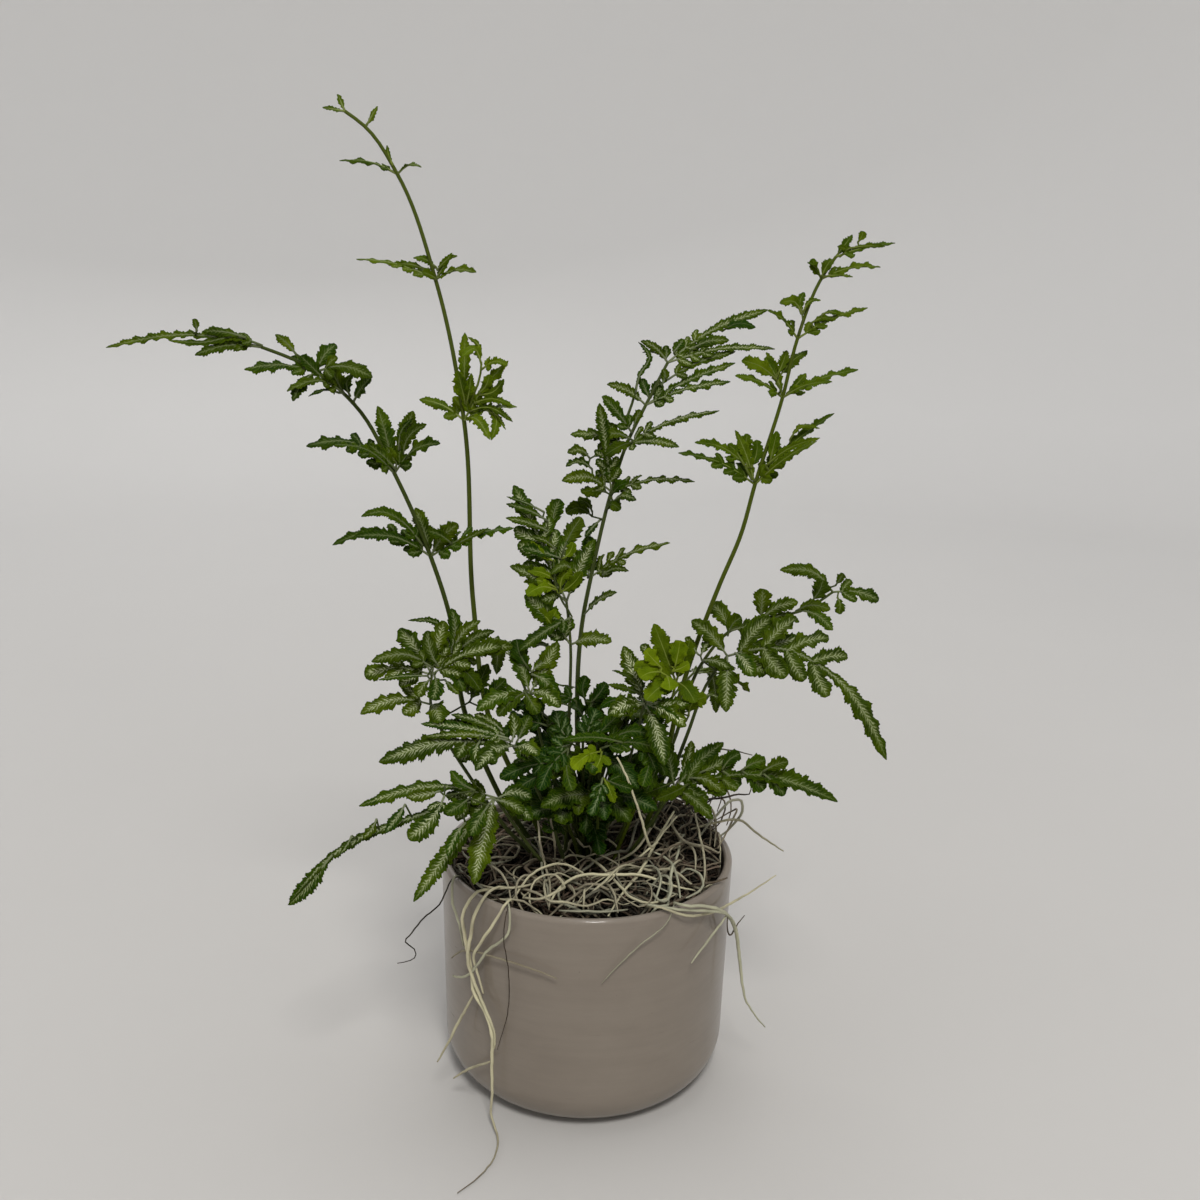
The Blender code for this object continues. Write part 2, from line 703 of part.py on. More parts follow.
def make_mix(material):
    """Potting mix that fills the pot, with a hole for each stem."""
    inset = GAP + 0.3
    low = POT_FLOOR + GAP
    rise = POT_INNER_ROUNDING + 1.0
    outer = inner_radius(low + rise) - inset
    profile = [(0.0, low), (outer - rise, low), (outer, low + rise),
               (inner_radius(MIX_TOP) - inset, MIX_TOP), (0.0, MIX_TOP)]
    points, faces = lathe(profile, MIX_SIDES)
    mix = new_object("potting_mix", points, faces, material)
    combine(mix, stem_holes(), "DIFFERENCE")
    return mix


def moss_height(x, y):
    """Height of the moss bed, heaped at the back right and lowest along the front rim."""
    distance = math.hypot(x, y)
    heap = 9.0 * math.exp(-((x - 38.0) ** 2 + (y - 22.0) ** 2) / 700.0)
    edge = 3.0 * max(0.0, (distance - 45.0) / 15.0) ** 2
    ripple = 1.4 * math.sin(0.31 * x + 1.0) * math.cos(0.27 * y - 0.5)
    return MIX_TOP + 9.0 + heap + ripple - edge


def moss_bed():
    """Ring of moss round the crown, as the core that the strands stand out of."""
    outer = inner_radius(MIX_TOP) - GAP - 0.3
    points = []
    rows = []
    for step in range(MOSS_STEPS):
        angle = 2.0 * math.pi * step / MOSS_STEPS
        heading = Vector((math.cos(angle), math.sin(angle), 0.0))
        inner = Vector((CROWN_X, CROWN_Y, 0.0)) + heading * CROWN_RADIUS
        edge = heading * outer
        row = []
        for share, drop in ((0.0, None), (0.0, 5.0), (0.3, 0.0), (0.7, 0.0), (1.0, 2.0), (1.0, None)):
            spot = inner.lerp(edge, share)
            height = MIX_TOP + GAP if drop is None else moss_height(spot.x, spot.y) - drop
            row.append(len(points))
            points.append((spot.x, spot.y, height))
        rows.append(row)
    faces = []
    for step, row in enumerate(rows):
        after = rows[(step + 1) % MOSS_STEPS]
        for index in range(len(row)):
            other = (index + 1) % len(row)
            faces.append((row[index], row[other], after[other], after[index]))
    return points, faces


def moss_strand(draw):
    """One strand that arches over the bed, with both ends sunk in it."""
    limit = inner_radius(POT_HEIGHT) - 3.0
    while True:
        angle = draw.uniform(0.0, 2.0 * math.pi)
        distance = draw.uniform(34.0, 57.0)
        turn = draw.choice((-1.0, 1.0)) * draw.uniform(0.5, 1.0)
        drift = draw.uniform(-14.0, 14.0)
        arch = draw.uniform(6.0, 11.0)
        path = []
        clear = True
        for step in range(MOSS_STRAND_STEPS + 1):
            share = step / MOSS_STRAND_STEPS
            around = angle + turn * (share - 0.5)
            out = distance + drift * (share - 0.5)
            x = out * math.cos(around)
            y = out * math.sin(around)
            height = moss_height(x, y) + arch * math.sin(math.pi * share) - 1.8
            if out > limit or math.hypot(x - CROWN_X, y - CROWN_Y) < CROWN_RADIUS + 2.5:
                clear = False
            path.append((x, y, height))
        if clear:
            return tube(path, [MOSS_STRAND_RADIUS] * len(path), 3)


def make_moss(material):
    """Moss bed with its strands."""
    points, faces = moss_bed()
    bed = new_object("spanish_moss", points, faces, material)
    draw = random.Random(MOSS_SEED)
    strands = []
    for index in range(MOSS_STRANDS):
        points, faces = moss_strand(draw)
        strands.append(new_object(f"strand_{index}", points, faces))
    combine(bed, strands, "UNION", "MANIFOLD")
    return bed


# Strands that hang over the rim. Each starts on the rim and ends on the surface or in the air.
TRAILS = (
    ("moss_trail_front", 1.1, (
        ((-40, -44, 103.7), (-45, -49, 105.2), (-50, -52, 98), (-50, -49, 85), (-47, -50, 69),
         (-46, -50, 59), (-41, -54, 53), (-38, -57, 44), (-38, -57, 34), (-38, -56, 18),
         (-38, -58, 5), (-35, -65, 1.5), (-35, -76, 1.3), (-40, -88, 1.3), (-48, -98, 1.3)),
        ((-46, -50, 59), (-53, -44, 42), (-58, -42, 30), (-63, -42, 20)),
        ((-47, -50, 69), (-36, -58, 76), (-24, -64, 80), (-11, -67.5, 78)),
    )),
    ("moss_trail_right", 1.0, (
        ((36, -51, 103.4), (40, -55, 104.4), (49, -49, 101), (60, -36, 90), (66, -25, 74),
         (69, -22, 56), (73, -20, 38), (82, -19, 25)),
        ((60, -36, 90), (52, -45, 84), (44, -53, 77)),
    )),
)


def make_trail(name, radius, paths, material):
    """Bundle of strands over the rim, as one body."""
    pieces = []
    for path in paths:
        curve = SmoothCurve(path)
        rings = max(4, round(curve.length / 11.0))
        points = [curve.at(curve.length * ring / rings) for ring in range(rings + 1)]
        taper = [radius * (1.0 - 0.35 * ring / rings) for ring in range(rings + 1)]
        ring_points, faces = tube(points, taper, 4)
        pieces.append(new_object(name, ring_points, faces))
    pieces[0].data.materials.append(material)
    combine(pieces[0], pieces[1:], "UNION", "MANIFOLD")
    return pieces[0]


def build():
    """Make every piece of the potted fern."""
    clear_scene()
    glaze = new_material("taupe_glaze", (0.19, 0.165, 0.14), 0.32)
    mix = new_material("potting_mix", (0.035, 0.025, 0.018), 0.95)
    moss = new_material("spanish_moss", (0.42, 0.38, 0.29), 0.85)
    dark = new_material("fern_green", (0.06, 0.13, 0.035), 0.5)
    young = new_material("fern_young_green", (0.17, 0.27, 0.02), 0.5)
    make_pot(glaze)
    make_mix(mix)
    make_moss(moss)
    for name, radius, paths in TRAILS:
        make_trail(name, radius, paths, moss)
    make_crown(dark)
    for shape in FRONDS:
        bright = shape["name"] in ("frond_tall_right", "frond_young_right")
        make_frond(shape, young if bright else dark)


build()
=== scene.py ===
"""Looks of the potted silver lace fern on its CAD frame: fine toothed leaflets with silver veins,
loose moss strands, glaze and potting mix.

Metres, +Z up, the front towards -Y. The tables and the mesh code are in millimetres.
"""

import math
import random

import bpy
import numpy as np
from mathutils import Matrix, Vector


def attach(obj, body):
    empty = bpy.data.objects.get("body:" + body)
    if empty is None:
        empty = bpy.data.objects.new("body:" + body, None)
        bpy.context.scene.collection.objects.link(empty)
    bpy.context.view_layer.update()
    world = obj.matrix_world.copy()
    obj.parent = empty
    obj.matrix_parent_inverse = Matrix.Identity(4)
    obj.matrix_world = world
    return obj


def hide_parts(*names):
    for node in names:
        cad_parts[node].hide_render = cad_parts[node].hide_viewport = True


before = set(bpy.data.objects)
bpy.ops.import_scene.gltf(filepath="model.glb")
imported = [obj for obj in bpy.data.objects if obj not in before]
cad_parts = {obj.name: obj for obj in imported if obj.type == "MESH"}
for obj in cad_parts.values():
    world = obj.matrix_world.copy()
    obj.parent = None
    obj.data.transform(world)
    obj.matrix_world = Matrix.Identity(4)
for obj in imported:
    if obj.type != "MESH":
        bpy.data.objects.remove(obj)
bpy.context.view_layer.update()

MM = 0.001

# Camera, fitted to the photograph: distance in front of the pot, height, downward tilt, turn and roll
CAMERA_DISTANCE = 496.0
CAMERA_HEIGHT = 345.0
CAMERA_TILT = 0.2516
CAMERA_TURN = 0.0062
CAMERA_ROLL = 0.0235
CAMERA_LENS = 36.0

# Stage: level floor that curves up to a wall
FLOOR_LEVEL = -0.05
FLOOR_RADIUS = 1500.0
WALL_CURVE = 1100.0
WALL_TOP = 2600.0

# Pot, as in the CAD source
POT_HEIGHT = 102.0
POT_RIM_RADIUS = 65.0
POT_FOOT_WALL_RADIUS = 63.5
POT_WALL = 3.6
POT_FLOOR = 5.0
POT_FOOT_ROUNDING = 19.0
POT_INNER_ROUNDING = 8.0
POT_FLOOR_RING = 20.0
FOOT_RECESS = 0.5
FOOT_RING_INNER = 41.0
FOOT_RING_OUTER = 42.4
POT_SIDES = 144

# Potting mix
MIX_TOP = 88.0
MIX_BASE_RING = 30.0
MIX_BASE_RADIUS = 50.9
MIX_BEVEL = 9.0
MIX_SIDES = 120

# Moss: bed with a heap at the back right, mat under it with a hole round the crown, and strands
MOSS_LEVEL = MIX_TOP + 9.0
MOSS_REACH = 62.0
MOSS_EDGE = 45.0
HEAP_HEIGHT = 15.0
HEAP_X = 40.0
HEAP_Y = 24.0
HEAP_SPREAD = 750.0
MAT_DEPTH = 6.0
MAT_HOLE = 21.0
MAT_SIDES = 150
STRAND_STEP = 2.2
STRAND_SIDES = 5
STRAND_CLEARANCE = 12.0
STRAND_STARTS = (14.0, 58.0)
STRAND_LENGTHS = (26.0, 85.0)
THIN_FROM = 60.0
THIN_OVER = 100.0
BED_HUES = (0.2, 0.9)
BED_RADIUS_SHARE = 0.68
LOOSE_HUES = (0.2, 0.95)
TRACED_BED_SIDES = 7
TRACED_LOOSE_SIDES = 8

# Crown and stems
CROWN_X = 0.0
CROWN_Y = 3.0
ROOT_DEPTH = 12.0
INNER_STEM_RING = 3.0
STEM_STEP = 4.0
STEM_SIDES = 10
STALK_SIDES = 8
PETIOLE_RADII = (0.42, 0.38, 0.4)
PETIOLE_SIDES = 6
JOINT_GAP = 0.4
GOLDEN_ANGLE = 2.39996

# Leaflets that fill the crown: how far out they start, how high, and their sizes
CROWN_LEAFLETS = 58
FILL_OUT = (6.0, 22.0)
FILL_LOW = 121.0
FILL_RISE = 34.0
FILL_LENGTHS = (15.0, 24.0)
FILL_WIDTHS = (2.8, 3.8)
FILL_PAIRS = 3
FILL_SIDES = (5.0, 7.5)
FILL_SILVER = (0.0, 0.1, 0.2, 0.45)
# Young below zero gives older, deeper green, darkened also as painted shade of the crown's depths
FILL_YOUNG = (-1.0, -0.7, -0.3, 0.1)

# Leaflets
BLADE_THICKNESS = 0.34
TOOTH_PITCH = 1.25
TOOTH_ROWS = (0.0, 0.55)
TOOTH_LEFT = (0.0, 1.0)
TOOTH_RIGHT = (0.9, 0.1)
SCALLOP_PITCH = 3.5
ACROSS = np.array((-1.0, -0.66, -0.26, 0.0, 0.26, 0.66, 1.0))
WING = 1.6
LOBE_ANGLE = math.radians(44.0)
LOBE_SCALLOP = 0.2
VEIN_PITCH = 1.75
VEIN_SLOPE = 1.15
LOWER_SILVER = 0.35

# Young ends of the fronds, where the leaflets are slimmer
SLIM_ABOVE = 225.0
SLIM = 0.88

# Material slots of the fern
LEAF = 0
STEM = 1

# Lights: place and size in metres, power in watts and colour
LIGHTS = (
    ("key_light", (0.2, -1.5, 2.0), 0.55, 36.0, (1.0, 0.99, 0.97)),
    ("fill_light", (-1.5, -0.6, 1.5), 1.6, 1.5, (0.95, 0.98, 1.0)),
    ("top_light", (0.1, 0.4, 2.3), 1.3, 12.0, (1.0, 1.0, 1.0)),
    ("back_light", (-0.5, 1.6, 1.3), 1.6, 4.5, (1.0, 1.0, 1.0)),
)
LIGHT_TARGET = (0.0, 0.0, 0.15)


def leaf(tip, width, pairs=0, side=0.0, face=45.0, arch=2.0, via=()):
    """Leaflet from its node to its tip, as in the CAD source."""
    return {"tip": tip, "width": width, "pairs": pairs, "side": side, "face": face, "arch": arch, "via": via}


def node(x, y, z, *leaves):
    """Point on a frond's stem, and the leaflets that grow from it."""
    return {"point": (x, y, z), "leaves": leaves}


def frond(name, root, radius, *nodes):
    """Frond whose stem rises straight out of the mix at its root, then runs through its nodes."""
    start = node(root[0], root[1], MIX_TOP - ROOT_DEPTH)
    collar = node(root[0], root[1], MIX_TOP + 4.0)
    return {"name": name, "radius": radius, "nodes": (start, collar, *nodes)}


def sprig(width, face, path, pairs=0, side=0.0, look=None):
    """Smaller leaflet: half width, tilt of its face, the coordinates of its path one after another,
    its side lobes and, where it isn't the usual one, its look."""
    return {"width": width, "face": face, "path": path, "pairs": pairs, "side": side, "look": look}


def stalk(radius, path, young=None):
    """Thin stalk that carries smaller leaflets."""
    return {"radius": radius, "path": path, "look": None if young is None else (0.0, young)}


# Long fronds, as in the CAD source: name, root, stem radius and nodes from the foot to the top
FRONDS = (
    frond("frond_tall_left", (-19, 11), 1.3,
        node(-32, 8, 128), node(-45, 3, 164), node(-51, 0, 215),
        node(-54, -5, 293,
            leaf((-72, -5, 301), 3.0, 1, 6, 55),
            leaf((-53, -9, 328), 2.8, 2, 7, 72),
            leaf((-35, -20, 318), 2.6, 2, 7, 65),
            leaf((-31, -28, 301), 2.6, 2, 6, 40),
            leaf((-41, -34, 289), 3.0, 0, 0, 40, 4)),
        node(-64, -12, 348,
            leaf((-95, -10, 355), 2.6, 3, 6, 20),
            leaf((-57, -16, 358), 1.8, 0, 0, 60, 0),
            leaf((-47, -24, 351), 2.6, 1, 5, 25)),
        node(-77, -19, 386,
            leaf((-98, -22, 390), 2.0, 1, 4, 20),
            leaf((-67, -26, 388), 2.0, 0, 0, 20)),
        node(-88, -22, 402,
            leaf((-83, -24, 409), 1.2, 0, 0, 60, 0)),
        node(-95, -24, 407,
            leaf((-103, -25, 408), 1.2, 0, 0, 60, 0),
            leaf((-98, -22, 413), 1.4, 0, 0, 70, 0))),
    frond("frond_arching_left", (-22, 3), 1.3,
        node(-40, -4, 130), node(-54, -10, 170), node(-60, -12, 214),
        node(-67, -14, 238,
            leaf((-108, -10, 241), 3.2, 3, 8, 30, 8),
            leaf((-95, -30, 249), 3.0, 1, 7, 40, 4),
            leaf((-73, -13, 258), 4.5, 0, 0, 65),
            leaf((-32, -26, 253), 3.2, 3, 8, 35, 3),
            leaf((-55, -20, 253), 4.5, 0, 0, 65)),
        node(-80, -21, 273,
            leaf((-113, -28, 284), 3.4, 3, 8, 40, 7),
            leaf((-98, -46, 287), 3.0, 1, 7, 40, 4),
            leaf((-87, -16, 299), 4.5, 0, 0, 70),
            leaf((-72, -22, 298), 4.4, 1, 7, 60),
            leaf((-60, -34, 287), 3.6, 1, 8, 45, 4)),
        node(-93, -26, 299),
        node(-107, -32, 313,
            leaf((-84, -42, 312), 3.6, 1, 7, 50, 3),
            leaf((-100, -28, 323), 3.6, 0, 0, 65),
            leaf((-113, -46, 303), 3.4, 0, 0, 45),
            leaf((-131, -44, 314), 3.8, 1, 7, 45)),
        node(-126, -38, 322,
            leaf((-148, -47, 319), 3.0, 0, 0, 45),
            leaf((-180, -48, 321), 2.2, 3, 6, 50, 0, ((-150, -43, 326),)))),
    frond("frond_tall_right", (22, 8), 1.3,
        node(32, 5, 130), node(40, 2, 179), node(54, 0, 226), node(62, 2, 247),
        node(67, 4, 268,
            leaf((34, 0, 281), 3.0, 3, 8, 35, 3),
            leaf((58, 8, 290), 3.0, 0, 0, 65),
            leaf((99, 8, 298), 3.0, 3, 7, 35, 3),
            leaf((88, -16, 289), 2.6, 1, 6, 45)),
        node(77, 8, 304,
            leaf((56, 0, 313), 2.8, 1, 6, 35),
            leaf((70, 14, 322), 2.6, 0, 0, 65),
            leaf((108, 10, 316), 2.8, 2, 6, 30),
            leaf((94, -8, 312), 2.4, 0, 0, 45)),
        node(82, 10, 328,
            leaf((68, 2, 339), 2.6, 1, 5, 40),
            leaf((110, 10, 341), 2.6, 2, 6, 30)),
        node(91, 15, 352,
            leaf((84, 8, 358), 2.4, 0, 0, 40),
            leaf((113, 6, 357), 2.4, 1, 5, 35)),
        node(97, 18, 361,
            leaf((104, 22, 370), 2.2, 0, 0, 60, 0),
            leaf((121, 18, 367), 2.2, 1, 5, 40, 1))),
    frond("frond_centre_tall", (2, 15), 1.3,
        node(-4, 14, 130), node(-6, 12, 166),
        node(-4, 13, 207,
            leaf((10, -8, 223), 2.4, 0, 0, 40)),
        node(-1, 15, 224,
            leaf((32, 0, 243), 3.0, 3, 7, 40, 3),
            leaf((-17, 24, 238), 3.4, 1, 8, 50)),
        node(7, 20, 261,
            leaf((42, 8, 268), 2.8, 2, 7, 35, 3),
            leaf((-14, 2, 268), 3.6, 1, 9, 60, 4),
            leaf((1, 8, 300), 3.8, 3, 8, 72, 1)),
        node(13, 23, 281,
            leaf((51, 8, 298), 2.8, 2, 7, 40, 3),
            leaf((34, -4, 284), 2.6, 1, 6, 50),
            leaf((-11, 14, 286), 3.4, 1, 8, 60, 2)),
        node(21, 26, 298,
            leaf((4, 20, 307), 3.0, 0, 0, 60),
            leaf((55, 8, 310), 2.8, 2, 7, 40),
            leaf((58, 20, 317), 2.8, 1, 7, 45)),
        node(30, 30, 316,
            leaf((18, 26, 325), 2.4, 0, 0, 60),
            leaf((75, 24, 323), 2.8, 3, 7, 45, 3),
            leaf((73, 38, 339), 2.8, 3, 7, 45, 0, ((49, 34, 330),)))),
    frond("frond_centre_left", (-9, 8), 1.1,
        node(-10, 2, 130), node(-9, -6, 176),
        node(-9, -9, 200,
            leaf((-28, -20, 224), 5.0, 1, 8, 60),
            leaf((8, -24, 206), 4.4, 0, 0, 50)),
        node(-11, -10, 219,
            leaf((-34, 0, 266), 4.4, 4, 13, 70, 3, ((-22, -6, 243),)),
            leaf((-34, -20, 236), 3.6, 1, 8, 50),
            leaf((0, -12, 246), 4.0, 0, 0, 70))),
    frond("frond_upper_right", (16, 14), 1.1,
        node(26, 14, 115), node(38, 12, 150), node(49, 9, 188),
        node(60, 7, 203,
            leaf((84, -8, 204), 5.6, 0, 0, 50, 4),
            leaf((52, 12, 214), 4.0, 0, 0, 65)),
        node(73, 6, 209,
            leaf((73, 4, 223), 4.6, 0, 0, 75, 0),
            leaf((88, 2, 218), 3.6, 0, 0, 60)),
        node(91, 7, 213,
            leaf((102, -6, 208), 3.6, 0, 0, 45)),
        node(104, 9, 221,
            leaf((80, 6, 231), 3.4, 0, 0, 50, 1, ((96, 9, 229),)),
            leaf((124, 8, 218), 3.4, 1, 7, 50))),
    frond("frond_silver_right", (20, 0), 1.2,
        node(30, -4, 120), node(42, -8, 160), node(50, -11, 186),
        node(57, -14, 198,
            leaf((117, -54, 169), 4.4, 4, 17, 50, 0, ((80, -31, 206), (100, -43, 196))),
            leaf((55, -36, 181), 4.6, 0, 0, 45, 3),
            leaf((42, -6, 211), 4.0, 0, 0, 60))),
    frond("frond_lower_right", (15, -7), 1.1,
        node(26, -12, 118),
        node(37, -15, 138,
            leaf((58, -8, 157), 4.8, 0, 0, 60),
            leaf((32, -5, 158), 3.8, 0, 0, 60),
            leaf((104, -32, 141), 4.4, 3, 11, 50, 0, ((72, -24, 149),)),
            leaf((52, -34, 133), 4.0, 0, 0, 45))),
    frond("frond_left_cluster", (-19, -6), 1.1,
        node(-36, -14, 118), node(-50, -19, 142), node(-62, -24, 166),
        node(-66, -26, 178,
            leaf((-92, -42, 179), 4.4, 1, 10, 40, 4),
            leaf((-60, -42, 176), 4.4, 0, 0, 45)),
        node(-65.4, -26.3, 191,
            leaf((-92, -32, 192), 4.2, 2, 10, 45, 3),
            leaf((-78, -28, 211), 4.4, 1, 8, 68),
            leaf((-60, -26, 214), 4.0, 1, 8, 69),
            leaf((-36, -34, 206), 4.2, 2, 9, 50, 3))),
    frond("frond_front_left", (-9, -11), 1.1,
        node(-15, -22, 122), node(-24, -34, 150),
        node(-31, -40, 166,
            leaf((-84, -48, 161), 4.8, 2, 12, 45, 5),
            leaf((-64, -38, 175), 3.2, 1, 8, 35, 2),
            leaf((-20, -60, 170), 4.4, 0, 0, 50),
            leaf((-44, -62, 164), 4.4, 0, 0, 50, 3))),
    frond("frond_lower_left", (-14, -15), 1.1,
        node(-24, -30, 116),
        node(-38, -44, 145,
            leaf((-91, -55, 145), 3.2, 2, 7, 25, 0, ((-60, -50, 152),)),
            leaf((-118, -66, 107), 2.0, 2, 9, 45, 0, ((-72, -58, 141), (-98, -62, 129))),
            leaf((-67, -74, 114), 4.2, 1, 11, 55, 2),
            leaf((-43, -78, 124), 5.4, 0, 0, 60, 3),
            leaf((-22, -58, 142), 4.2, 0, 0, 50))),
    frond("frond_young_right", (10, -12), 1.0,
        node(20, -18, 130), node(30, -24, 165),
        node(35, -26, 190,
            leaf((25, -27, 215), 4.6, 0, 0, 72, 0),
            leaf((17, -36, 199), 4.8, 0, 0, 60),
            leaf((22, -44, 188), 4.8, 0, 0, 55),
            leaf((42, -40, 186), 4.2, 0, 0, 60),
            leaf((40, -26, 208), 4.2, 0, 0, 70, 0))),
    frond("frond_silver_star", (3, -10), 1.0,
        node(9, -15, 122), node(17, -24, 155),
        node(22, -30, 182,
            leaf((30, -50, 163), 4.6, 0, 0, 62, 4),
            leaf((38, -46, 178), 4.2, 0, 0, 55),
            leaf((7, -42, 181), 4.0, 0, 0, 50),
            leaf((13, -26, 205), 4.2, 0, 0, 72, 0))),
    frond("frond_inner_left", (-10, -2), 1.0,
        node(-10, -12, 122), node(-20, -22, 160),
        node(-25, -27, 184,
            leaf((-46, -38, 180), 4.2, 0, 0, 45, 3),
            leaf((-12, -40, 183), 4.4, 0, 0, 50, 3),
            leaf((-14, -22, 205), 4.4, 0, 0, 68, 0),
            leaf((-32, -20, 204), 4.2, 0, 0, 68, 0))),
    frond("frond_back_left", (-12, 20), 1.1,
        node(-20, 36, 125),
        node(-30, 50, 156,
            leaf((-66, 52, 158), 3.8, 1, 10, -20, 4),
            leaf((-8, 66, 156), 3.8, 1, 9, -25, 3)),
        node(-40, 66, 172,
            leaf((-66, 82, 166), 3.8, 1, 9, -35, 4),
            leaf((-22, 88, 170), 3.6, 1, 8, -35, 3),
            leaf((-50, 108, 148), 4.0, 3, 9, -40, 0, ((-46, 88, 172),)))),
    frond("frond_back_right", (12, 20), 1.1,
        node(24, 34, 125),
        node(36, 46, 154,
            leaf((66, 40, 160), 3.8, 1, 9, -15, 4),
            leaf((24, 66, 150), 3.8, 1, 9, -30, 3)),
        node(50, 62, 166,
            leaf((78, 64, 156), 3.8, 1, 9, -25, 4),
            leaf((66, 100, 132), 4.0, 3, 9, -40, 0, ((60, 82, 160),)))),
)

# Short inner fronds of the crown
INNER_STEMS = (
    (node(-1, -3, 112),
     node(-2, -16, 136,
          leaf((-16, -36, 134), 5.0, 0, 0, 55, 4),
          leaf((14, -38, 138), 5.2, 0, 0, 55, 4),
          leaf((-4, -46, 139), 5.0, 0, 0, 60, 4))),
    (node(-2, 2, 125),
     node(-3, -6, 166,
          leaf((-8, -26, 178), 4.8, 0, 0, 60),
          leaf((8, -8, 180), 4.6, 0, 0, 60))),
    (node(3, 3, 120),
     node(12, 10, 158,
          leaf((30, 22, 166), 4.6, 0, 0, 10),
          leaf((12, 34, 162), 4.6, 0, 0, -30, 3),
          leaf((26, -4, 168), 4.6, 0, 0, 40))),
    (node(2, -6, 115),
     node(3, -20, 154,
          leaf((-16, -48, 156), 5.4, 0, 0, 55, 3),
          leaf((20, -48, 152), 5.4, 0, 0, 55, 3),
          leaf((1, -52, 160), 5.0, 0, 0, 60, 3),
          leaf((4, -26, 178), 4.8, 0, 0, 75, 0))),
    (node(3, -14, 108),
     node(4, -26, 138,
          leaf((28, -46, 142), 5.2, 0, 0, 50, 3),
          leaf((-19, -50, 144), 5.2, 0, 0, 50, 3),
          leaf((7, -57, 142), 5.0, 0, 0, 60, 3),
          leaf((17, -47, 137), 4.6, 0, 0, 60, 3))),
    (node(-5, -12, 108),
     node(-10, -26, 130,
          leaf((-25, -47, 138), 4.4, 0, 0, 60, 3),
          leaf((-11, -50, 137), 4.6, 0, 0, 60, 3))),
    (node(-3, 4, 118),
     node(-12, 18, 150,
          leaf((-34, 16, 156), 4.8, 0, 0, 20, 3),
          leaf((-14, 40, 152), 4.6, 0, 0, -30, 3))),
)

# Rhizome: heights and radii from its foot to its top
RHIZOME = ((77.0, 5.2), (81.0, 6.4), (85.0, 6.5), (89.0, 6.3), (91.5, 4.6), (92.6, 1.5))

# Share of silver and of young green for each frond, and of young green for single nodes. Below zero
# the green is older and deeper, and darker also as painted shade of the crown's depths.
LOOKS = {
    "frond_tall_left": (0.3, 0.42),
    "frond_arching_left": (0.32, 0.08),
    "frond_tall_right": (0.1, 0.42),
    "frond_centre_tall": (0.68, 0.06),
    "frond_centre_left": (0.75, 0.08),
    "frond_upper_right": (0.45, 0.1),
    "frond_silver_right": (0.62, 0.0),
    "frond_lower_right": (0.5, 0.1),
    "frond_left_cluster": (0.8, 0.08),
    "frond_front_left": (0.95, 0.08),
    "frond_lower_left": (0.85, 0.15),
    "frond_young_right": (0.05, 0.55),
    "frond_silver_star": (1.0, 0.05),
    "frond_inner_left": (0.7, 0.12),
    "frond_back_left": (0.7, 0.1),
    "frond_back_right": (0.7, 0.1),
    "fern_crown": (0.4, -0.1),
}
NODE_YOUNG = {
    ("frond_tall_left", 5): 0.75,
    ("frond_tall_left", 6): 0.3,
    ("frond_centre_left", 4): 0.15,
}

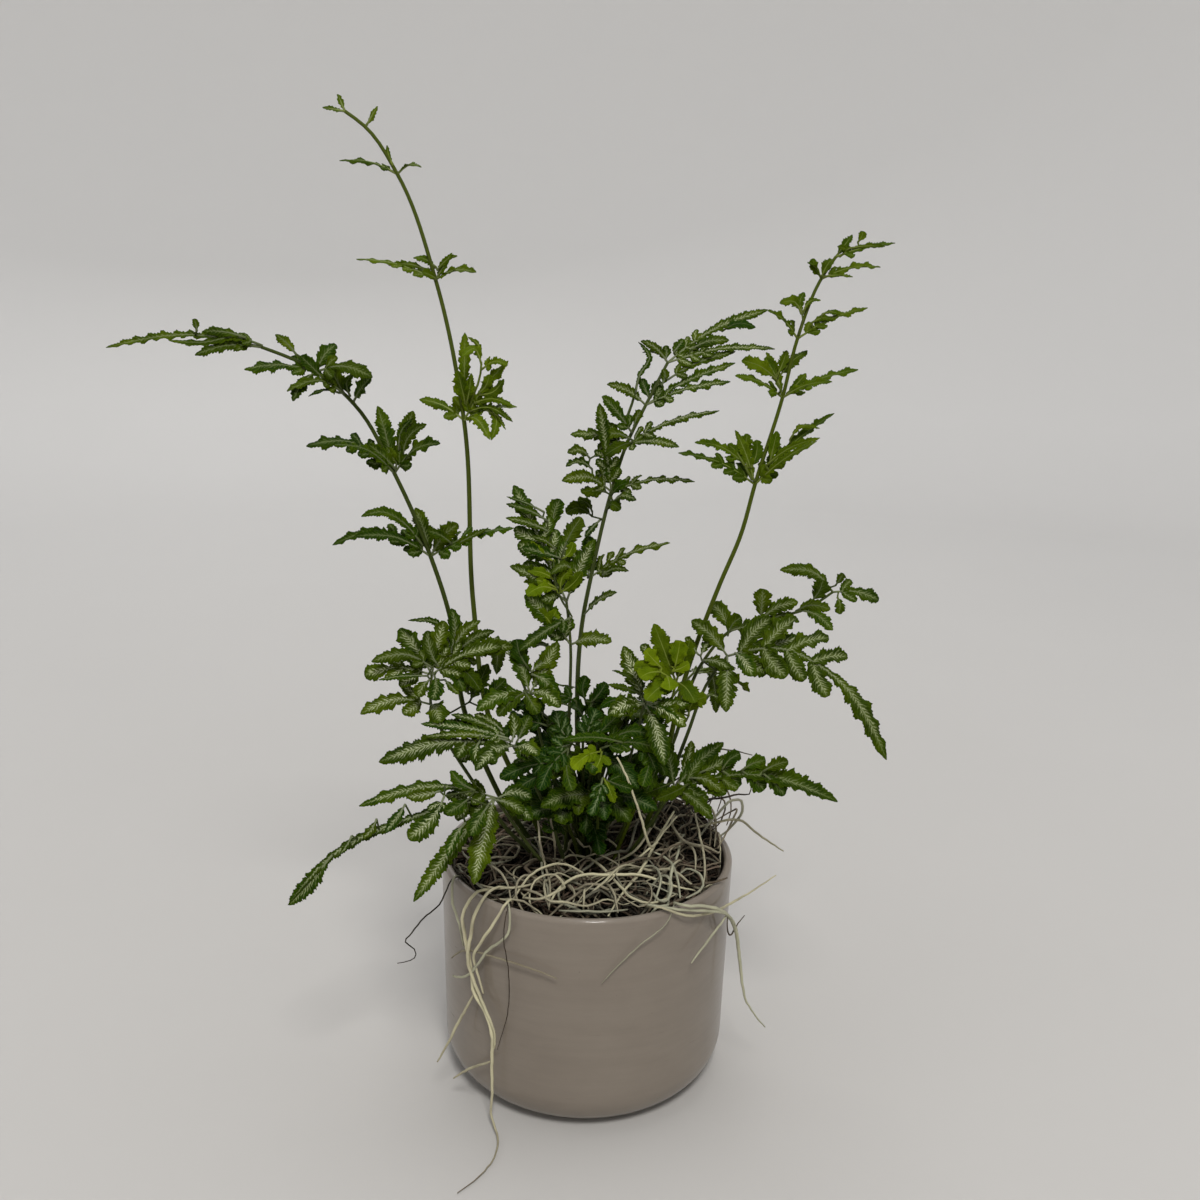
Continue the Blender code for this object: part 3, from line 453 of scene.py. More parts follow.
# Traced strands of the moss bed: tone from 0, dark brown, to 1, pale yellow, radius and points
BED_STRANDS = (
    (0.95, 0.85, ((11, -50, 166), (15, -50, 158), (19, -46, 146), (27, -28, 117), (30, -14, 112),
                  (22, -21, 108), (10, -34, 107), (-2, -51, 105), (-5, -55, 101))),
    (0.9, 0.9, ((40, 1, 118), (32, -8, 112), (27, -18, 108), (21, -33, 105), (15, -45, 104), (9, -57, 100))),
    (0.95, 0.9, ((39, 8, 117), (31, -8, 111), (23, -28, 106), (17, -36, 102))),
    (1.0, 1.0, ((-15, -50, 101), (-10, -41, 105), (-4, -37, 107), (10, -37, 108), (24, -33, 106),
                (35, -37, 104), (46, -34, 100))),
    (0.9, 0.9, ((-13, -16, 102), (-8, -14, 105), (-1, -17, 106), (8, -29, 106), (14, -41, 105),
                (19, -49, 104), (25, -51, 103), (31, -47, 102), (38, -39, 101))),
    (0.85, 0.85, ((28, -14, 108), (34, -18, 107), (38, -32, 106), (39, -45, 101))),
    (0.8, 0.8, ((39, -27, 103), (43, -26, 106), (48, -31, 106), (49, -37, 104), (44, -42, 102),
                (38, -44, 101))),
    (0.75, 0.85, ((36, -14, 104), (37, -9, 107), (43, -6, 109), (47, -14, 108), (47, -21, 102))),
    (0.8, 0.8, ((49, 21, 114), (50, -5, 111), (51, -18, 107), (50, -30, 103), (48, -36, 100))),
    (0.65, 0.8, ((33, 40, 106), (26, 34, 112), (16, 31, 111), (8, 32, 104))),
    (0.7, 0.9, ((8, 10, 103), (16, 14, 112), (25, 14, 114), (31, 7, 109))),
    (0.75, 0.75, ((-21, -33, 137), (-20, -38, 125), (-18, -30, 109), (-15, -45, 106), (-15, -53, 101))),
    (0.7, 0.7, ((-15, -28, 144), (-16, -32, 136), (-14, -34, 122), (-14, -18, 106), (-14, -24, 102))),
    (0.75, 0.75, ((-22, -36, 124), (-20, -20, 108), (-19, -30, 106), (-16, -45, 105), (-15, -52, 101))),
    (0.6, 0.65, ((-4, 8, 103), (-7, -4, 112), (-9, -26, 132), (-12, -28, 141))),
    (0.85, 0.8, ((-12, -4, 102), (-4, 0, 107), (7, -4, 109), (13, -11, 108), (14, -16, 102))),
    (0.7, 0.75, ((-14, 12, 101), (-3, 9, 106), (7, 6, 107), (16, 9, 106))),
    (0.8, 0.8, ((-46, -34, 101), (-35, -43, 104), (-25, -42, 105), (-19, -31, 102))),
    (0.7, 0.8, ((-27, -40, 102), (-21, -48, 105), (-17, -50, 104), (-15, -53, 100))),
    (0.6, 0.85, ((-57, -11, 98), (-53, -25, 101), (-46, -36, 102), (-38, -45, 101))),
    (0.65, 0.85, ((-56, -2, 100), (-50, -18, 104), (-41, -27, 107), (-33, -15, 103))),
    (0.7, 0.8, ((-53, -20, 99), (-48, -18, 103), (-40, -28, 106), (-33, -41, 105), (-31, -47, 100))),
    (0.8, 0.75, ((-1, -55, 101), (-1, -51, 106), (1, -38, 101))),
    (0.75, 0.8, ((-11, -55, 101), (-2, -57, 102), (8, -57, 102), (17, -53, 101))),
    (0.7, 0.8, ((6, -33, 102), (11, -48, 106), (13, -56, 101))),
    (0.6, 0.85, ((44, 36, 106), (52, 28, 111), (56, 12, 110), (55, -1, 105))),
    (0.65, 0.85, ((40, 42, 105), (50, 34, 112), (58, 16, 113), (57, -2, 105))),
    (0.3, 0.8, ((44, -33, 102), (50, -35, 104), (55, -33, 104), (60, -30, 104.2))),
    (0.85, 0.75, ((-5, -52, 101), (6, -44, 107), (16, -30, 109), (26, -24, 104))),
    (0.8, 0.8, ((28, -48, 101), (31, -36, 108), (27, -26, 107), (18, -24, 103))),
    (0.9, 0.8, ((-30, -46, 101), (-22, -36, 108), (-10, -30, 109), (2, -34, 104))),
)

# Strands that stick out of the heap, and those that hang over the rim
LOOSE_STRANDS = (
    (0.85, 0.7, ((46, 8, 108), (58, 6, 113), (68, 5, 115), (78, 4, 108), (89, 3, 101))),
    (0.75, 0.75, ((50, 4, 106), (59, 7, 117), (65, 8, 123), (69, 8, 123.5), (70, 8, 118), (66, 8, 111),
                  (58, 6, 104))),
    (0.08, 0.55, ((38, 14, 108), (47, 12, 120), (55, 9, 123), (62, 7, 125), (68, 6, 127), (72, 5, 127.5),
                  (73, 5, 130))),
    (0.45, 0.5, ((34, 18, 112), (44, 22, 130), (56, 22, 142), (66, 21, 142), (75, 21, 140))),
    (0.05, 0.4, ((-36, 4, 106), (-46, 9, 120), (-54, 10, 131), (-58, 10, 137))),
    (0.1, 0.45, ((34, 10, 108), (44, 6, 119), (54, 4, 124), (60, 2, 131))),
    (0.4, 0.5, ((40, 30, 112), (50, 28, 124), (60, 24, 126), (66, 20, 118), (64, 14, 108))),
    (0.25, 0.45, ((30, 36, 110), (42, 34, 122), (54, 30, 127), (62, 24, 121), (60, 20, 112))),
    (0.55, 0.5, ((58, -6, 106), (64, 4, 112), (68, 12, 117), (66, 18, 113), (60, 20, 108))),
    (0.35, 0.45, ((44, 10, 112), (54, 14, 124), (62, 12, 121), (60, 8, 112), (54, 6, 107))),
    (0.5, 0.5, ((36, 22, 114), (46, 26, 128), (52, 26, 131), (58, 24, 124), (56, 20, 114))),
)
FRONT_TRAIL = (
    (0.95, 1.05, ((-40, -44, 103.7), (-45, -49, 105.2), (-50, -52, 98), (-50, -49, 85), (-47, -50, 69),
                  (-46, -50, 59), (-41, -54, 53), (-38, -57, 44), (-38, -57, 34), (-38, -56, 18),
                  (-38, -58, 5), (-35, -65, 1.5), (-35, -76, 1.3), (-40, -88, 1.3), (-48, -98, 1.3))),
    (0.9, 0.9, ((-34, -40, 103), (-40, -49, 105.4), (-45, -55, 99), (-47, -53, 88), (-48.5, -51.5, 76),
                (-45.5, -51.5, 64), (-41, -55, 55), (-37, -58, 46), (-37, -57.5, 38))),
    (0.9, 0.8, ((-30, -50, 102.6), (-32, -56, 104.8), (-37, -58.5, 97), (-42, -55, 87), (-46, -52, 77),
                (-44, -52, 68), (-42, -53, 61))),
    (0.85, 0.75, ((-46, -50, 59), (-53, -44, 42), (-58, -42, 30), (-63, -42, 20))),
    (0.8, 0.7, ((-38, -56, 31), (-43, -53, 27), (-50, -46, 19), (-56, -42, 12))),
    (0.6, 0.5, ((-57, -36, 67), (-47, -50, 79), (-38, -56, 80), (-24, -63, 80), (-11, -66.5, 77))),
    (0.85, 0.7, ((-56.5, -37, 59), (-48, -50, 68), (-40, -55, 82), (-31, -60, 94), (-31, -58.5, 103.8),
                 (-33, -50, 102.5))),
    (0.8, 0.65, ((-54, -29, 101.5), (-56, -36.5, 104.6), (-56, -41, 97), (-53, -43, 87), (-51, -45, 78))),
    (0.1, 0.35, ((-52, -30, 102), (-56, -36, 104.4), (-62, -38, 93), (-69, -35, 85), (-76, -31, 74),
                 (-78, -30, 71), (-74, -31, 68), (-73, -32, 66), (-81, -33, 62))),
    (0.12, 0.22, ((-29, -53, 102.5), (-31, -58, 104.2), (-33, -60, 92), (-31, -60.5, 76), (-31, -59.5, 60),
                  (-36, -55.5, 36))),
)
RIGHT_TRAIL = (
    (0.9, 1.0, ((36, -51, 103.4), (40, -55, 104.4), (49, -49, 101), (60, -36, 90), (66, -25, 74),
                (69, -22, 56), (73, -20, 38), (82, -19, 25))),
    (0.85, 0.7, ((22, -50, 101.5), (28, -56, 104.5), (38, -55, 102.5), (49, -49, 99), (60, -37, 90.5),
                 (66, -26, 77))),
    (0.85, 0.7, ((24, -52, 102), (30, -57, 104.4), (40, -55, 100), (51, -44, 95), (63, -27, 91),
                 (74, -12, 89), (85, -5, 93))),
    (0.7, 0.3, ((36, -53, 104), (33, -59, 99), (22, -63.5, 91), (13, -65, 82), (7, -66, 75))),
    (0.25, 0.35, ((60, -36, 90), (63, -28, 76), (67, -20, 77), (70, -18, 80))),
    (0.8, 0.6, ((60, -36, 90), (52, -45, 84), (44, -53, 77))),
)


# Smaller leaflets and their stalks: for each frond the usual look of its leaflets, as in LOOKS, and the
# leaflets from its foot to its top
SPRIGS = {
    "frond_tall_left": ((0.12, 0.6), (
        sprig(2, 60, (-63.5, -13, 352.5, -68, -13, 355.5, -72.5, -12, 356), look=(0.1, 0.25)),
        sprig(1.8, 60, (-63, -14, 351.5, -59, -15, 355.5, -55, -16, 357), look=(0.1, 0.25)),
        sprig(2.3, 60, (-63.5, -13, 348, -65.5, -15, 349.5, -68.5, -17, 350.5), look=(0.1, 0.25)),
        sprig(1.7, 55, (-67, -12, 351.5, -74, -11, 353.5, -82.5, -10, 353), look=(0.1, 0.25)),
        sprig(3.6, 75, (-53, -8, 300, -54, -12, 306.5, -55, -16, 313.5)),
        sprig(2, 75, (-52.5, -8, 300, -51, -12, 306, -50, -14, 312.5)),
        stalk(0.6, (-53, -6, 297.5, -49.5, -10, 304, -47, -12, 310, -46, -14, 317)),
        sprig(2.4, 60, (-46, -14, 316, -48.5, -16, 322, -53, -20, 319)),
        sprig(1.2, 60, (-46, -14, 319.5, -47, -15, 323.5, -51, -16, 326.5)),
        sprig(2, 50, (-46, -14, 314, -40.5, -18, 317.5, -35, -24, 316.5), 1, 4),
        sprig(2.6, 72, (-47.5, -12, 304.5, -44, -16, 308, -42.5, -18, 312.5)),
        sprig(3.4, 65, (-47, -12, 304, -40.5, -18, 306, -36.5, -22, 311)),
        sprig(2.2, 50, (-49, -10, 300.5, -40, -20, 303, -32.5, -26, 301)),
        sprig(2, 45, (-51, -8, 297, -41.5, -20, 299.5, -32.5, -30, 295.5)),
        sprig(2.3, 60, (-45, -16, 299, -39.5, -22, 296, -41, -28, 288)),
        sprig(0.8, 40, (-40.5, -22, 298.5, -38, -24, 296, -35.5, -26, 292)),
        sprig(1.1, 60, (-78.5, -20, 389, -80, -20, 392.5, -80.5, -20, 396)),
    )),
    "frond_arching_left": ((0.25, 0.05), (
        sprig(3, 55, (-70, -16, 243, -78.5, -18, 253.5, -84.5, -20, 257, -93.5, -22, 255.5), 1, 5),
        sprig(2.6, 60, (-57.5, -18, 244, -62.5, -20, 248.5, -67.5, -20, 250)),
        sprig(1.9, 50, (-58.5, -18, 242.5, -50, -22, 248, -43, -24, 252)),
        sprig(1.6, 65, (-78, -22, 282.5, -76.5, -22, 290.5, -72, -24, 295)),
        sprig(3.2, 62, (-76.5, -22, 279.5, -74, -24, 287.5, -66, -28, 293.5)),
        sprig(3.4, 60, (-79, -22, 274.5, -83, -24, 279.5, -89, -26, 285)),
        sprig(3.4, 62, (-94, -27, 302, -90.5, -32, 306.5, -85, -38, 312)),
        sprig(2.6, 62, (-95.5, -27, 303.5, -96, -30, 309, -93, -32, 312.5)),
        sprig(4, 66, (-97.5, -28, 304.5, -100, -30, 310, -102.5, -28, 315)),
        sprig(2.6, 45, (-97.5, -30, 305, -104.5, -38, 310, -115, -46, 306.5), 2, 5),
        sprig(0.9, 40, (-99, -30, 305, -103, -36, 306.5, -108, -42, 304.5)),
        sprig(3.2, 60, (-104, -32, 310, -108, -34, 314.5, -112, -36, 319)),
        sprig(2.6, 60, (-113.5, -36, 319.5, -117, -34, 323, -122, -32, 326.5)),
        sprig(2, 40, (-125.5, -38, 322.5, -134.5, -42, 325.5, -145, -44, 323.5, -157, -47, 324), 1, 4),
        sprig(1.7, 75, (-147.5, -45, 327.5, -147.5, -45, 329.5, -148, -45, 332)),
        sprig(2.2, 55, (-130.5, -42, 325.5, -139, -43, 327.5, -145.5, -44, 327.5)),
    )),
    "frond_tall_right": ((0, 0.3), (
        stalk(0.7, (66.5, 3, 269.5, 63.5, 3, 273.5, 62, 4, 276.5)),
        sprig(2.8, 55, (62, 4, 276.5, 52.5, 6, 283, 41, 4, 285), 1, 5),
        sprig(4.2, 72, (63.5, 4, 275, 62.5, 8, 282, 63.5, 10, 288.5)),
        sprig(3.6, 70, (65, 4, 275, 67.5, 8, 281, 67.5, 10, 286)),
        sprig(2.6, 60, (62, 3, 276, 58, 6, 282, 55, 6, 284.5)),
        sprig(2, 45, (70.5, 0, 276.5, 80, -2, 284.5, 91.5, -4, 289)),
        sprig(3.2, 66, (72.5, 2, 278, 74, 4, 285, 75, 4, 290.5)),
        sprig(1.5, 50, (80.5, 4, 287, 84.5, 4, 292.5, 92.5, 4, 292)),
        stalk(0.6, (76, 6, 306.5, 74.5, 5, 309.5, 73, 6, 312)),
        sprig(3.6, 62, (73.5, 4, 311.5, 66, 3, 317, 58.5, 2, 319)),
        sprig(2.6, 65, (74, 8, 312, 71.5, 10, 316.5, 69.5, 12, 320)),
        sprig(2.8, 66, (74.5, 9, 313, 77, 12, 318.5, 78.5, 14, 323)),
        sprig(3.2, 60, (75.5, 10, 312.5, 81, 14, 318.5, 87.5, 16, 323)),
        sprig(2.6, 60, (78.5, 8, 305.5, 82, 8, 309, 86.5, 10, 314)),
        stalk(0.5, (82.5, 9, 330, 83.5, 8, 335, 82.5, 6, 338.5)),
        sprig(3, 62, (82, 4, 338, 79.5, 6, 342.5, 73, 4, 342)),
        sprig(2.4, 66, (83.5, 8, 338, 82, 10, 342.5, 84, 12, 346.5)),
        sprig(1.5, 55, (83.5, 8, 339, 87, 10, 343.5, 90.5, 10, 343.5)),
        sprig(1.9, 55, (87.5, 10, 334.5, 91.5, 10, 336.5, 95.5, 8, 336)),
        sprig(1.4, 45, (91.5, 10, 338, 95.5, 10, 339, 98.5, 8, 338)),
        sprig(2.6, 62, (91, 14, 353, 93, 16, 357, 95.5, 18, 360)),
        sprig(2.4, 62, (90.5, 14, 353, 87.5, 12, 356.5, 86.5, 12, 360)),
        sprig(1.7, 45, (92, 12, 353, 97.5, 10, 353.5, 102.5, 8, 353)),
        sprig(2, 60, (98.5, 18, 361, 101, 18, 363.5, 97, 16, 365)),
        sprig(2, 66, (106, 20, 367, 107.5, 20, 369.5, 108, 20, 371.5)),
        sprig(1.4, 45, (102.5, 18, 364.5, 109, 18, 365.5, 116.5, 16, 365.5)),
    )),
    "frond_centre_tall": ((0.4, 0), (
        sprig(2.6, 60, (-1.5, 14, 271.5, -6.5, 10, 275, -12.5, 6, 273.5)),
        sprig(2.6, 60, (-2.5, 14, 276, -7, 10, 280, -12, 8, 279)),
        sprig(3.2, 62, (2, 16, 268, 6, 18, 271.5, 10.5, 20, 274.5)),
        sprig(2.6, 62, (-0.5, 15, 277, 3, 16, 282, 4, 16, 286.5)),
        sprig(3, 60, (4.5, 16, 261.5, -1.5, 12, 262.5, -6, 8, 262.5), look=(0, 0)),
        sprig(3.2, 62, (7, 16, 260, 10.5, 14, 264.5, 13.5, 12, 266), look=(0, 0)),
        sprig(2.6, 50, (7.5, 16, 257, 13, 10, 261, 17.5, 8, 259.5), look=(0.6, 0)),
        sprig(3.4, 60, (5, 18, 252.5, 7.5, 14, 256.5, 11, 12, 254.5), look=(0, 0)),
        sprig(3.6, 66, (15.5, 22, 286, 9, 20, 295, 2, 18, 302), 1, 5),
        sprig(2.4, 66, (16, 24, 289, 17.5, 24, 293.5, 19, 24, 296)),
        sprig(2.8, 60, (15.5, 20, 283.5, 6.5, 16, 286.5, 1.5, 14, 284)),
        sprig(3, 55, (16, 20, 282.5, 10, 14, 281.5, 3.5, 12, 277.5), look=(0, 0)),
        sprig(2.8, 66, (22.5, 27, 300.5, 20.5, 28, 305, 18.5, 28, 309)),
        sprig(2.8, 66, (23, 27, 301, 25, 28, 305, 27, 28, 308.5)),
        sprig(2.4, 60, (27.5, 26, 306.5, 29, 28, 310.5, 28, 28, 313.5)),
        sprig(2.3, 50, (30, 26, 309, 41.5, 26, 316, 58.5, 26, 321.5), 1, 5),
        stalk(0.7, (12.5, 23, 292.5, 15.5, 24, 300.5, 17, 25, 308)),
        sprig(1.7, 60, (16.5, 24, 303.5, 18, 25, 311, 22, 26, 318, 17, 27, 324.5)),
        sprig(2.4, 66, (29, 30, 317, 29.5, 32, 320.5, 28.5, 32, 323)),
        sprig(0.8, 50, (28.5, 30, 318.5, 23, 30, 320.5, 19, 30, 320)),
        sprig(3, 58, (39.5, 30, 321.5, 46, 30, 325, 56, 30, 326)),
        sprig(3, 58, (53, 34, 329.5, 60, 34, 333, 67.5, 34, 331.5), look=(0, 0)),
        sprig(2.2, 62, (32.5, 31, 320.5, 35, 32, 323.5, 36.5, 32, 326)),
        sprig(2, 50, (4, 6, 227, 9, 4, 230.5, 15, 2, 230)),
        sprig(4.2, 70, (-2.5, 17, 223, -1.5, 18, 232.5, -3, 18, 241.5), 1, 6, look=(0.3, 0)),
        sprig(3.6, 60, (-1, 22, 249.5, -7.5, 20, 253.5, -12.5, 18, 251.5), look=(0, 0)),
        sprig(3, 62, (-1, 22, 251.5, -3, 22, 255, -7.5, 20, 257), look=(0, 0)),
        sprig(2, 50, (2.5, 20, 248.5, -1, 16, 245.5, -4, 12, 242.5)),
    )),
    "frond_centre_left": ((0.45, 0), (
        sprig(3.2, 55, (-13.5, -8, 237, -22, -12, 240.5, -29.5, -16, 243)),
        sprig(1.8, 55, (-15.5, -6, 240, -20.5, -8, 244.5, -26, -10, 246.5)),
        sprig(2.4, 52, (-17.5, -5, 247, -26.5, -8, 251.5, -36.5, -10, 254)),
        sprig(2.1, 52, (-19.5, -4, 252, -27, -6, 256.5, -36.5, -8, 259.5)),
        sprig(0.9, 45, (-21, -3, 255.5, -29, -4, 259.5, -36.5, -5, 262)),
        sprig(4.2, 66, (-17, -4, 247.5, -17, -2, 255, -14.5, -2, 261)),
        sprig(4.6, 60, (-13, -8, 239.5, -10, -4, 246.5, -5.5, -2, 253.5), look=(0.2, 0)),
        sprig(2.6, 55, (-7, -10, 230, -11.5, -12, 235, -17.5, -16, 232)),
        stalk(0.5, (-9.5, -10, 212, -13, -13, 220.5, -15, -14, 225, -16.5, -13, 237.5)),
        sprig(3.4, 55, (-15, -14, 225, -21.5, -18, 227, -27, -22, 224.5), look=(0, 0.9)),
        sprig(2.2, 55, (-15.5, -14, 226, -21, -16, 229, -28.5, -18, 229), look=(0, 0.75)),
        sprig(2.6, 55, (-16, -13, 229, -21.5, -15, 232.5, -27, -17, 233.5), look=(0, 0.7)),
        sprig(3, 60, (-13.5, -14, 224, -9, -16, 227.5, -4.5, -18, 234), look=(0, 0.55)),
        sprig(2.8, 65, (-13.5, -13, 224.5, -13, -12, 229.5, -9, -12, 233.5), look=(0, 0.5)),
        sprig(2.6, 66, (-12.5, -10, 237.5, -10, -10, 240, -8.5, -10, 244.5), look=(0, 0.8)),
        sprig(2, 60, (-16, -12, 236.5, -20.5, -12, 239, -26, -12, 245), look=(0, 0.8)),
        stalk(0.4, (-11, -10, 202.5, -15, -13, 206.5, -17, -14, 208.5)),
        sprig(3.2, 62, (-16.5, -14, 208, -19.5, -16, 214, -25, -18, 216), look=(0, 0.9)),
        sprig(2.8, 66, (-16.5, -14, 208.5, -16.5, -14, 212.5, -15, -14, 216.5), look=(0, 0.8)),
        sprig(2.4, 55, (-16.5, -14, 208, -18.5, -17, 208.5, -21.5, -20, 207.5), look=(0, 0.7)),
        sprig(3, 50, (-8.5, -12, 213, -17.5, -18, 209.5, -29.5, -26, 202), 1, 5),
    )),
    "frond_left_cluster": ((0.5, 0), (
        sprig(3.4, 70, (-62, -27, 194, -66, -27, 202, -67, -25, 209.5)),
        sprig(3, 70, (-61, -27, 195.5, -61.5, -25, 201.5, -61.5, -23, 206.5)),
        sprig(3.2, 52, (-65, -29, 195, -75, -33, 201.5, -88, -37, 199.5), 1, 5),
        sprig(1.4, 40, (-66.5, -31, 192, -76.5, -37, 193.5, -85, -39, 192.5)),
        sprig(3.2, 60, (-65.5, -31, 190.5, -68.5, -35, 188, -69.5, -37, 185)),
        sprig(3.8, 60, (-64, -29, 191.5, -62.5, -35, 188.5, -63.5, -39, 184.5)),
        sprig(1.5, 45, (-60.5, -26, 194, -58.5, -23, 203, -62.5, -23, 211.5, -75, -25, 213.5)),
        sprig(3, 68, (-58, -25, 199.5, -56, -23, 208.5, -57.5, -23, 218.5)),
        sprig(2.6, 62, (-57, -25, 201.5, -51, -25, 210.5, -45.5, -25, 214)),
        sprig(2.8, 60, (-56, -25, 199.5, -47.5, -27, 207.5, -39.5, -29, 211)),
        sprig(3.4, 60, (-54.5, -27, 197.5, -43, -31, 204, -31.5, -35, 206.5), 1, 5),
        sprig(3, 55, (-58.5, -27, 197, -55, -31, 193, -51.5, -35, 187), look=(0.2, 0)),
        sprig(3.4, 55, (-55.5, -29, 196.5, -49.5, -33, 193.5, -44.5, -37, 188.5), look=(0, 0)),
        sprig(1.6, 50, (-59.5, -31, 190.5, -56, -35, 188.5, -53, -37, 186.5)),
        sprig(4, 60, (-50.5, -22, 178, -46, -24, 187.5, -42.5, -24, 195.5), look=(0, 0)),
        sprig(3.8, 60, (-46.5, -24, 177, -40.5, -28, 184.5, -34.5, -32, 191.5), look=(0.2, 0)),
        sprig(3.2, 60, (-50.5, -26, 183, -53, -26, 189, -58, -26, 192.5), look=(0, 0)),
    )),
    "frond_front_left": ((0.8, 0), (
        sprig(1.9, 45, (-32, -41, 168.5, -48, -43, 171.5, -66, -45, 171), 1, 4),
        sprig(2.3, 45, (-33, -41, 169.5, -48.5, -41, 173.5, -68, -41, 175), 1, 4),
        sprig(2.3, 50, (-34.5, -40, 170.5, -44.5, -39, 175.5, -56, -39, 178.5)),
        sprig(2.2, 55, (-35.5, -39, 172, -41.5, -37, 176, -47, -37, 178)),
        sprig(3.2, 62, (-44, -45, 169.5, -44.5, -53, 167, -42, -55, 164)),
        sprig(3, 62, (-38.5, -47, 169.5, -38.5, -55, 167, -36.5, -57, 165)),
        sprig(3.2, 60, (-49.5, -45, 169, -51, -51, 167.5, -52, -53, 165.5)),
        sprig(2.8, 68, (-31.5, -41, 168, -30.5, -37, 173.5, -32, -35, 178.5)),
        sprig(3, 66, (-29.5, -41, 168, -27, -37, 172.5, -24.5, -35, 177.5), look=(0.3, 0)),
        sprig(3.8, 60, (-30.5, -43, 167, -26, -51, 168, -23.5, -55, 166)),
    )),
    "frond_lower_left": ((0.75, 0), (
        sprig(3.7, 50, (-100.5, -63, 127.5, -109.5, -64.5, 116, -117.5, -66, 107), look=(0.75, 0.05)),
        sprig(2.6, 55, (-72, -59, 148, -74, -63, 145, -78.5, -67, 139.5)),
        sprig(2.2, 55, (-83, -61, 142.5, -84.5, -63, 139, -87.5, -65, 136)),
        sprig(1.1, 50, (-92.5, -63, 136, -94, -65, 133, -96.5, -67, 130)),
        sprig(4.4, 58, (-56.5, -59, 152, -59.5, -67, 147, -68.5, -75, 141), 1, 5),
        sprig(2.8, 50, (-58.5, -57, 153, -64, -61, 153, -70.5, -63, 153)),
        sprig(2.4, 60, (-44.5, -59, 154.5, -50, -57, 156.5, -54.5, -55, 161), look=(0.2, 0)),
        sprig(3.4, 55, (-46.5, -61, 152, -50.5, -67, 151, -54.5, -71, 150), look=(0.3, 0)),
        sprig(2.6, 60, (-47.5, -67, 144.5, -51, -71, 140.5, -53.5, -75, 134)),
        sprig(3.6, 60, (-39, -63, 150, -42.5, -69, 146, -45, -73, 142), look=(0.4, 0)),
        sprig(3.6, 58, (-36, -55, 149.5, -29, -55, 152.5, -22.5, -55, 150)),
        sprig(3, 55, (-37.5, -56, 149.5, -31.5, -58, 149, -25, -60, 146)),
    )),
    "frond_young_right": ((0, 1), (
        sprig(3.2, 66, (28.5, -31, 197.5, 24.5, -31, 201.5, 21.5, -31, 205)),
        sprig(3.6, 60, (28, -33, 196.5, 23.5, -36, 197, 19.5, -40, 196)),
        sprig(3.8, 62, (30.5, -33, 195, 31.5, -37, 193, 31.5, -40, 191)),
        sprig(3.8, 70, (34, -29, 197, 35, -29, 202.5, 36, -28, 208.5)),
        sprig(2.8, 62, (33, -29, 195.5, 36.5, -29, 197, 40, -29, 199)),
        sprig(3.8, 60, (40.5, -29, 176.5, 42, -33, 184, 47, -35, 187), look=(0, 0.5)),
        sprig(3.2, 60, (39.5, -29, 174, 36.5, -31, 179, 37, -33, 184.5), look=(0, 0.4)),
    )),
    "frond_silver_star": ((0.8, 0), (
        sprig(2.2, 66, (25, -27, 199, 23, -27, 203, 20, -27, 206)),
        sprig(1.7, 60, (22, -31, 185.5, 16, -31, 188, 7, -31, 190), look=(0, 0)),
        sprig(1.1, 55, (21, -31, 188, 17, -31, 192.5, 8.5, -31, 196), look=(0, 0)),
        sprig(2.8, 60, (22, -31, 183.5, 27.5, -33, 189, 33, -35, 189), look=(0.4, 0)),
        sprig(2.8, 58, (22.5, -31, 183, 30.5, -35, 183.5, 40.5, -39, 185.5)),
        sprig(2, 55, (14, -29, 182.5, 9, -29, 182.5, 4, -29, 179), look=(0, 0)),
        sprig(3, 60, (23, -32, 182.5, 29, -38, 181, 36, -44, 179)),
        sprig(3.8, 60, (22, -32, 182.5, 17, -36, 182, 11, -42, 180)),
    )),
    "frond_silver_right": ((0.8, 0), (
        sprig(3.8, 58, (59.5, -19, 201, 62.5, -27, 200, 65.5, -33, 195.5)),
        sprig(2.8, 55, (46.5, -13, 195.5, 52, -19, 197, 57.5, -23, 195.5)),
        sprig(2.4, 66, (46, -11, 197, 48, -10, 201, 50.5, -8, 204.5)),
        sprig(2.4, 66, (45, -11, 197.5, 42, -9, 201, 39.5, -9, 204.5)),
        sprig(2.8, 52, (71, -21, 203, 80, -19, 206.5, 90.5, -21, 207.5)),
    )),
    "frond_upper_right": ((0.15, 0), (
        sprig(3.8, 55, (66.5, 4, 201, 69.5, -2, 200, 72.5, -6, 198.5), look=(0.15, 0.2)),
        sprig(2.6, 50, (77, 5, 209, 83, 4, 211.5, 89, 2, 209)),
        sprig(3.4, 55, (88, 7, 212.5, 93, 6, 215.5, 102.5, 4, 214.5)),
        sprig(4.2, 66, (95, 8, 217, 98, 8, 222, 99, 8, 226.5)),
        sprig(1.9, 60, (105, 9, 224, 106.5, 9, 226.5, 108, 9, 229.5)),
        sprig(2.6, 60, (106, 8, 219, 106.5, 4, 216.5, 106, 2, 213), look=(0.15, 0.3)),
        sprig(3.6, 62, (59, 6, 201, 62, 8, 207, 65, 8, 209)),
    )),
    "frond_lower_right": ((0.55, 0.05), (
        sprig(3.2, 55, (43.5, -17, 144, 50, -21, 145, 56.5, -25, 141.5)),
        sprig(3, 55, (35.5, -17, 141.5, 28.5, -23, 141, 22, -27, 140), look=(0, 0.05)),
        sprig(3, 55, (42.5, -19, 142, 34.5, -27, 141, 28, -31, 140), look=(0, 0.05)),
        sprig(2.8, 64, (39.5, -13, 143.5, 42.5, -11, 150.5, 44, -9, 158)),
        sprig(3.8, 55, (47.5, -17, 146.5, 55, -17, 150.5, 61.5, -15, 153.5)),
